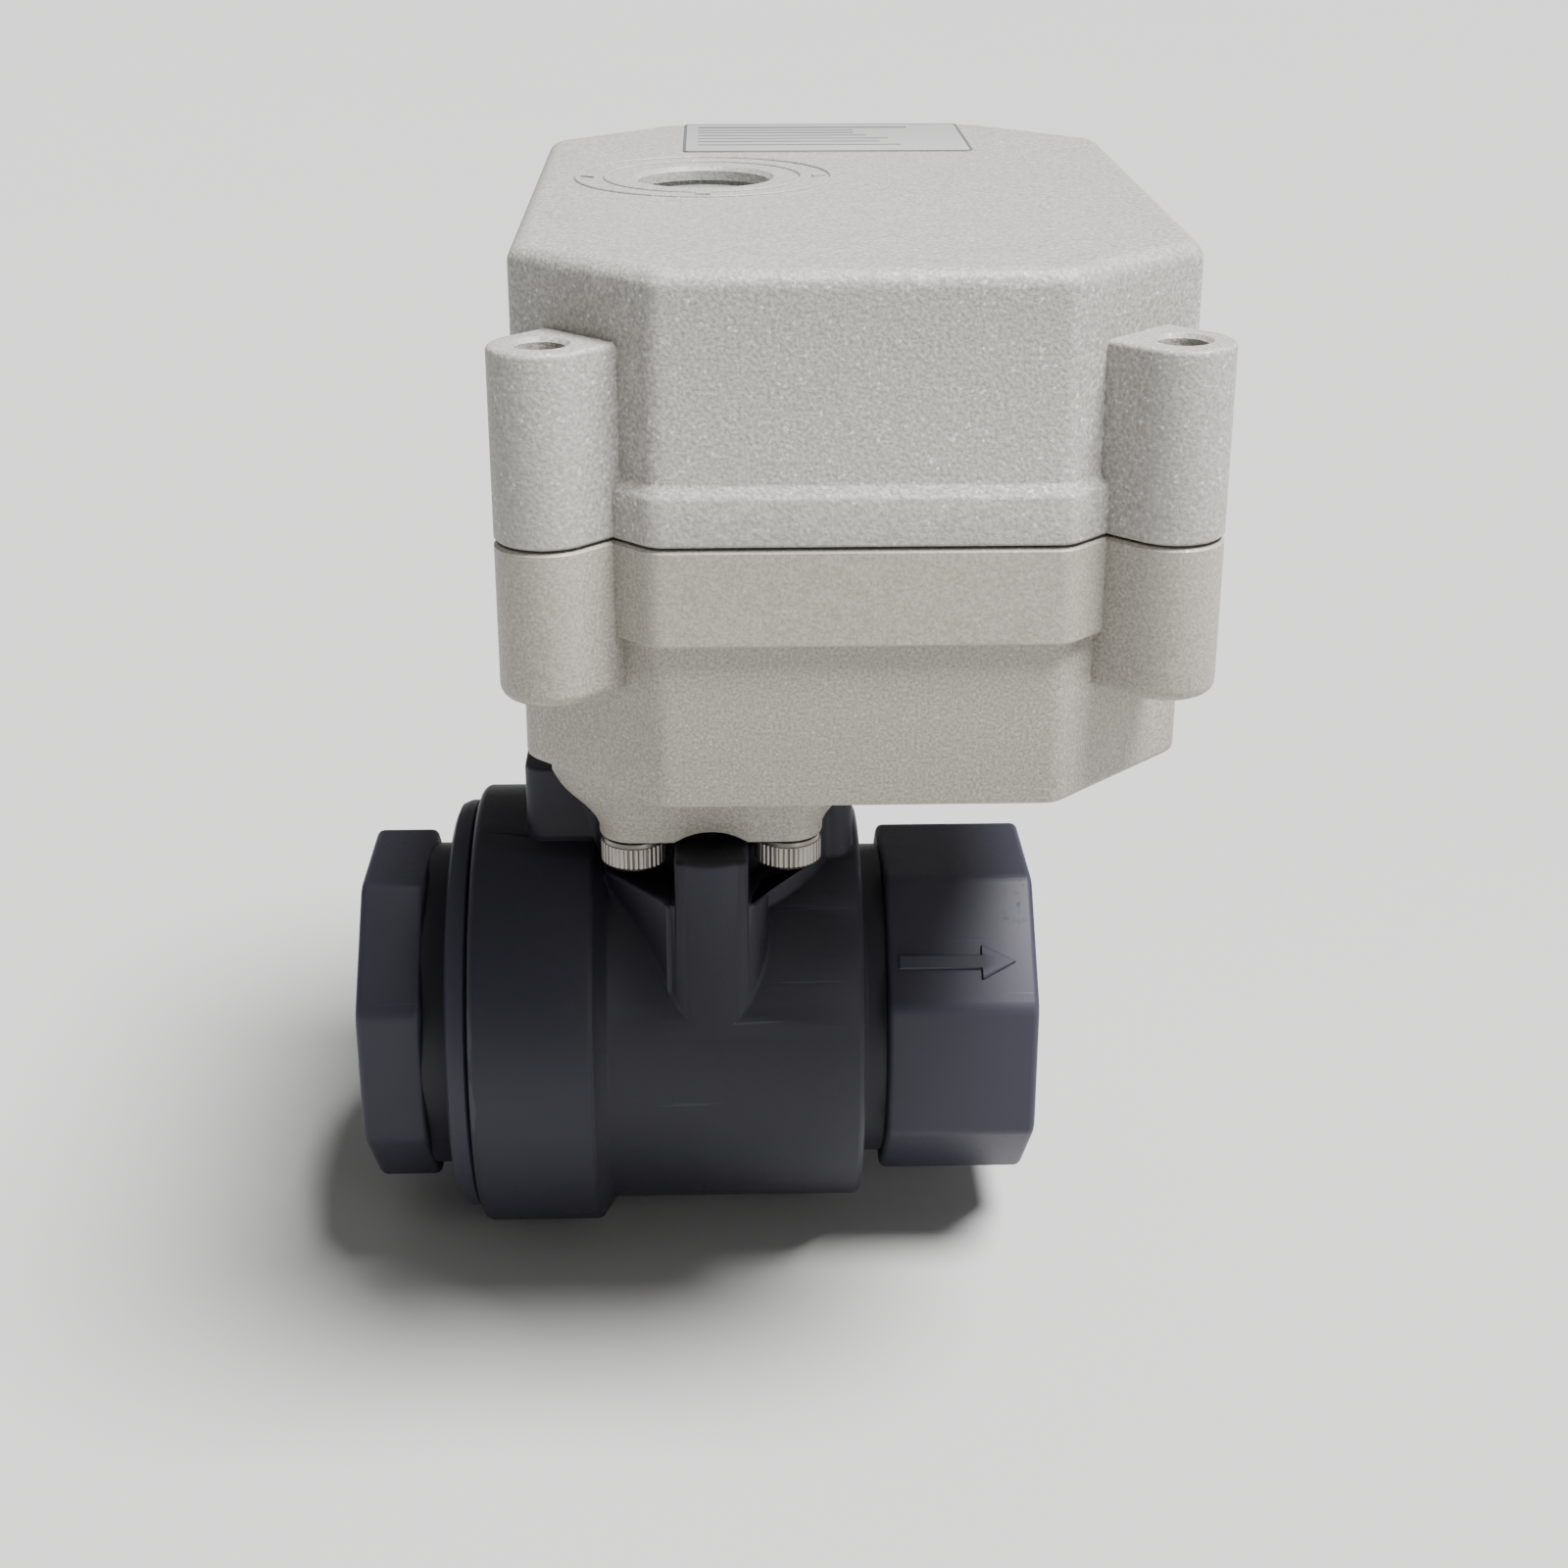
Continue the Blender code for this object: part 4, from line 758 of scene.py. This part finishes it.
def flared_room(grow, low, high):
    """Room for the foot's flare, cut between the ears."""
    narrow = rounded(FOOT_HALF_X + grow, FOOT_HALF_Y + grow, LOBE_R + grow)
    wide = rounded(FOOT_FLARE_X + grow, FOOT_FLARE_Y + grow, LOBE_R + grow)
    lobe_top, flare_top = FOOT_LOW + FOOT_LOBE_H, FOOT_LOW + FOOT_FLARE_H
    return loft([(narrow, low), (narrow, lobe_top), (wide, flare_top), (wide, high)])


def open_pocket(sx, sy, steps=24):
    """Plan of the room round a screw's head: round inside and open outwards along Y."""
    x, y = sx * LOBE_X, sy * LOBE_Y
    turns = [pi * i / steps for i in range(steps + 1)]
    points = [(x + POCKET_R * cos(turn), y - sy * POCKET_R * sin(turn)) for turn in turns]
    return points + [(x - POCKET_R, 2 * y), (x + POCKET_R, 2 * y)]


def make_valve_body():
    """Barrel, collar, neck with rib and ears, spigot and the outlet's octagon."""
    barrel = [(AXIS_R, BODY_LEFT), (COLLAR_R - 1.0, BODY_LEFT), (COLLAR_R - 0.3, BODY_LEFT + 0.3),
              (COLLAR_R, BODY_LEFT + 1.0), (COLLAR_R, COLLAR_RIGHT - 0.3), (COLLAR_R - 0.25, COLLAR_RIGHT),
              (BODY_R + 0.25, COLLAR_RIGHT + 1.5), (BODY_R, COLLAR_RIGHT + 1.9), (BODY_R, BODY_RIGHT - 0.8),
              (BODY_R - 0.25, BODY_RIGHT - 0.25), (BODY_R - 0.8, BODY_RIGHT), (GROOVE_R + 0.3, BODY_RIGHT),
              (GROOVE_R, BODY_RIGHT + 0.3), (GROOVE_R, OCT_LEFT + 2), (AXIS_R, OCT_LEFT + 2)]
    web = [(-13.6, -12.4), (-5.3, -22.8), (0, -17), (6, -10), (0, 0), (-12, 0)]
    ear_left = moved(prism(rounded(6.2, EAR_HALF_Y, 2.5), 15, EAR_LEFT_TOP), x=EAR_LEFT + 6.2)
    ear_right = moved(prism(rounded(4.0, EAR_HALF_Y, 2.5), 15, EAR_RIGHT_TOP), x=EAR_RIGHT - 4.0)
    adds = [cylinder(NECK_R, 0, NECK_TOP, steps=72), cylinder(RIB_R, 0, NECK_TOP, 0, -RIB_Y, steps=56),
            cylinder(RIB_R, 0, NECK_TOP, 0, RIB_Y, steps=56), prism(web, 0, NECK_TOP), ear_left, ear_right]
    cuts = [flared_room(0.4, NECK_TOP, BOTTOM)]
    cuts += [prism(open_pocket(sx, sy), POCKET_Z, BOTTOM) for sx, sy in CORNERS]
    body = shape(along_x(turned(barrel)), adds, cuts, soft=0.45)
    port = VALVE_RIGHT - PORT_DEPTH
    bores = [x_bore(INSERT_R + GAP, BODY_LEFT - THROUGH, -CAVITY_HALF),
             x_bore(CAVITY_R, -CAVITY_HALF - 1, CAVITY_HALF),
             x_bore(SEAT_R, CAVITY_HALF - 1, SEAT_BACK),
             x_bore(BORE_R, SEAT_BACK - 1, port + 1),
             x_bore(THREAD_ROOT_R + 0.2, port, VALVE_RIGHT + THROUGH),
             cylinder(STEM_FLANGE_R, 12, 21.0, steps=48),
             cylinder(STEM_BORE_R, 15, SPIGOT_TOP + THROUGH, steps=40)]
    spigot = cylinder(SPIGOT_R, NECK_TOP - 8, SPIGOT_TOP, steps=56)
    whole = shape(body, [octagon_end(OCT_LEFT, VALVE_RIGHT), spigot], bores)
    piece("body_moulding", whole, FINISHES["valve_plastic"], replaces=["valve_body"])


def make_end_cap():
    """The union end with its round flange and octagon."""
    left = CAP_FLANGE_LEFT
    right = BODY_LEFT - GAP
    neck = [(AXIS_R, CAP_OCT_RIGHT - 2), (CAP_NECK_R, CAP_OCT_RIGHT - 2), (CAP_NECK_R, left - 0.3),
            (CAP_NECK_R + 0.3, left)]
    flange = [(CAP_FLANGE_R - 1.5, left), (CAP_FLANGE_R - 0.45, left + 0.45), (CAP_FLANGE_R, left + 1.5),
              (CAP_FLANGE_R, right - 0.3), (CAP_FLANGE_R - 0.3, right), (INSERT_R, right)]
    insert = [(INSERT_R, O_RING_LEFT), (O_RING_R, O_RING_LEFT), (O_RING_R, O_RING_RIGHT),
              (INSERT_R, O_RING_RIGHT), (INSERT_R, INSERT_RIGHT), (AXIS_R, INSERT_RIGHT)]
    port = VALVE_LEFT + PORT_DEPTH
    bores = [x_bore(BORE_R, port - 1, INSERT_RIGHT + THROUGH),
             x_bore(SEAT_R, -SEAT_BACK, INSERT_RIGHT + THROUGH),
             x_bore(THREAD_ROOT_R + 0.2, VALVE_LEFT - THROUGH, port)]
    cap = shape(along_x(turned(neck + flange + insert)), [octagon_end(VALVE_LEFT, CAP_OCT_RIGHT)], bores)
    piece("cap_moulding", cap, FINISHES["valve_plastic"], replaces=["end_cap"])


def make_thread(name, mouth, inward):
    """A parallel pipe thread lining a port, as one closed sleeve with a helical inside."""
    around, rows_per_turn = 72, 8
    start = 0.8
    length = PORT_DEPTH - 2 * start
    rows = int(length / THREAD_PITCH * rows_per_turn)
    bm = bmesh.new()
    inside = []
    for row in range(rows + 1):
        ring = []
        for i in range(around):
            turn = 2 * pi * i / around
            along = length * row / rows
            wave = (along / THREAD_PITCH - i / around) % 1.0
            depth = min(1.0, max(0.0, 2.6 * abs(2 * wave - 1) - 0.8))
            fade = min(1.0, along / 1.5, (length - along) / 1.5)
            radius = THREAD_ROOT_R - (THREAD_ROOT_R - THREAD_CREST_R) * (1 - depth) * fade
            x = mouth + inward * (start + along)
            ring.append(bm.verts.new((x, radius * cos(turn), radius * sin(turn))))
        inside.append(ring)
    outer = circle(THREAD_ROOT_R + 0.6, around)
    outside = [[bm.verts.new((mouth + inward * x, y, z)) for y, z in outer] for x in (start, start + length)]
    loop = inside + [outside[1], outside[0]]
    for a, b in zip(loop, loop[1:] + loop[:1]):
        for i in range(around):
            j = (i + 1) % around
            bm.faces.new((a[i], a[j], b[j], b[i]))
    bmesh.ops.recalc_face_normals(bm, faces=bm.faces)
    piece(name, bm, FINISHES["valve_plastic"])


def make_flow_arrow():
    """A raised arrow on the outlet's upper front flat, pointing downstream."""
    half, head, back, tip = 0.9, 2.3, -7.4, 7.4
    outline = [(back, -half), (tip - 4.2, -half), (tip - 4.2, -head), (tip, 0), (tip - 4.2, head),
               (tip - 4.2, half), (back, half)]
    arrow = loft([(outline, -0.6), (outline, 0.28), ([(x * 0.985, y * 0.86) for x, y in outline], 0.4)])
    middle = (OCT_LEFT + VALVE_RIGHT) / 2
    facet = Matrix.Translation((middle - 0.6, 0, 0)) @ Matrix.Rotation(radians(45), 4, "X")
    arrow.transform(facet @ Matrix.Translation((0, -2.6, OCT_HALF)))
    piece("flow_arrow", arrow, FINISHES["valve_plastic"])


# ---- studio ----

def area_light(name, place, target, size, energy):
    """A soft square light aimed at a point, in metres."""
    lamp = bpy.data.lights.new(name, "AREA")
    lamp.size = size
    lamp.energy = energy
    lit = bpy.data.objects.new(name, lamp)
    lit.location = place
    aim = Vector(place) - Vector(target)
    lit.rotation_euler = aim.to_track_quat("Z", "Y").to_euler()
    bpy.context.scene.collection.objects.link(lit)


def make_studio():
    """Pale floor, soft key from the upper right front, and an even white surround."""
    mesh = bpy.data.meshes.new("floor")
    bm = bmesh.new()
    reach = 6.0
    bm.faces.new([bm.verts.new((x * reach, y * reach, 0)) for x, y in CORNERS])
    bm.to_mesh(mesh)
    bm.free()
    floor = bpy.data.objects.new("floor", mesh)
    floor.location.z = cad_low.z - 0.0001
    finish = Paint("floor_pale", (0.41, 0.41, 0.405), 0.75)
    finish.tint(finish.ramp(finish.noise(3, 3), 0.4, 0.7, 0, 0.3), (0.40, 0.40, 0.395))
    mesh.materials.append(finish.done())
    bpy.context.scene.collection.objects.link(floor)
    world = bpy.data.worlds.new("surround")
    world.use_nodes = True
    world.node_tree.nodes["Background"].inputs["Color"].default_value = (1.0, 1.0, 1.0, 1.0)
    world.node_tree.nodes["Background"].inputs["Strength"].default_value = 0.26
    bpy.context.scene.world = world
    sun = bpy.data.lights.new("key", "SUN")
    sun.energy = 12.4
    sun.angle = radians(24)
    key = bpy.data.objects.new("key", sun)
    away = Vector((0.36, -0.17, 0.91))
    key.rotation_euler = away.to_track_quat("Z", "Y").to_euler()
    bpy.context.scene.collection.objects.link(key)
    area_light("front_softbox", (0.45, -0.62, 0.30), (0.0, 0.0, 0.04), 0.30, 1.1)


def make_camera():
    """The camera, looking slightly down on the front."""
    data = bpy.data.cameras.new("camera")
    data.lens = 56.68
    data.sensor_width = 36.0
    data.clip_start = 0.01
    camera = bpy.data.objects.new("camera", data)
    camera.location = (0.00121, -0.2962, 0.15341)
    camera.rotation_euler = (radians(90 - 22.45), 0.0, radians(-1.6))
    bpy.context.scene.collection.objects.link(camera)
    bpy.context.scene.camera = camera


make_camera()
finish_cad_nodes()
make_cover()
make_base()
make_window()
make_dial()
make_label()
make_foot()
make_mount_screws()
make_valve_body()
make_end_cap()
make_thread("inlet_thread", VALVE_LEFT, 1)
make_thread("outlet_thread", VALVE_RIGHT, -1)
make_flow_arrow()
make_studio()
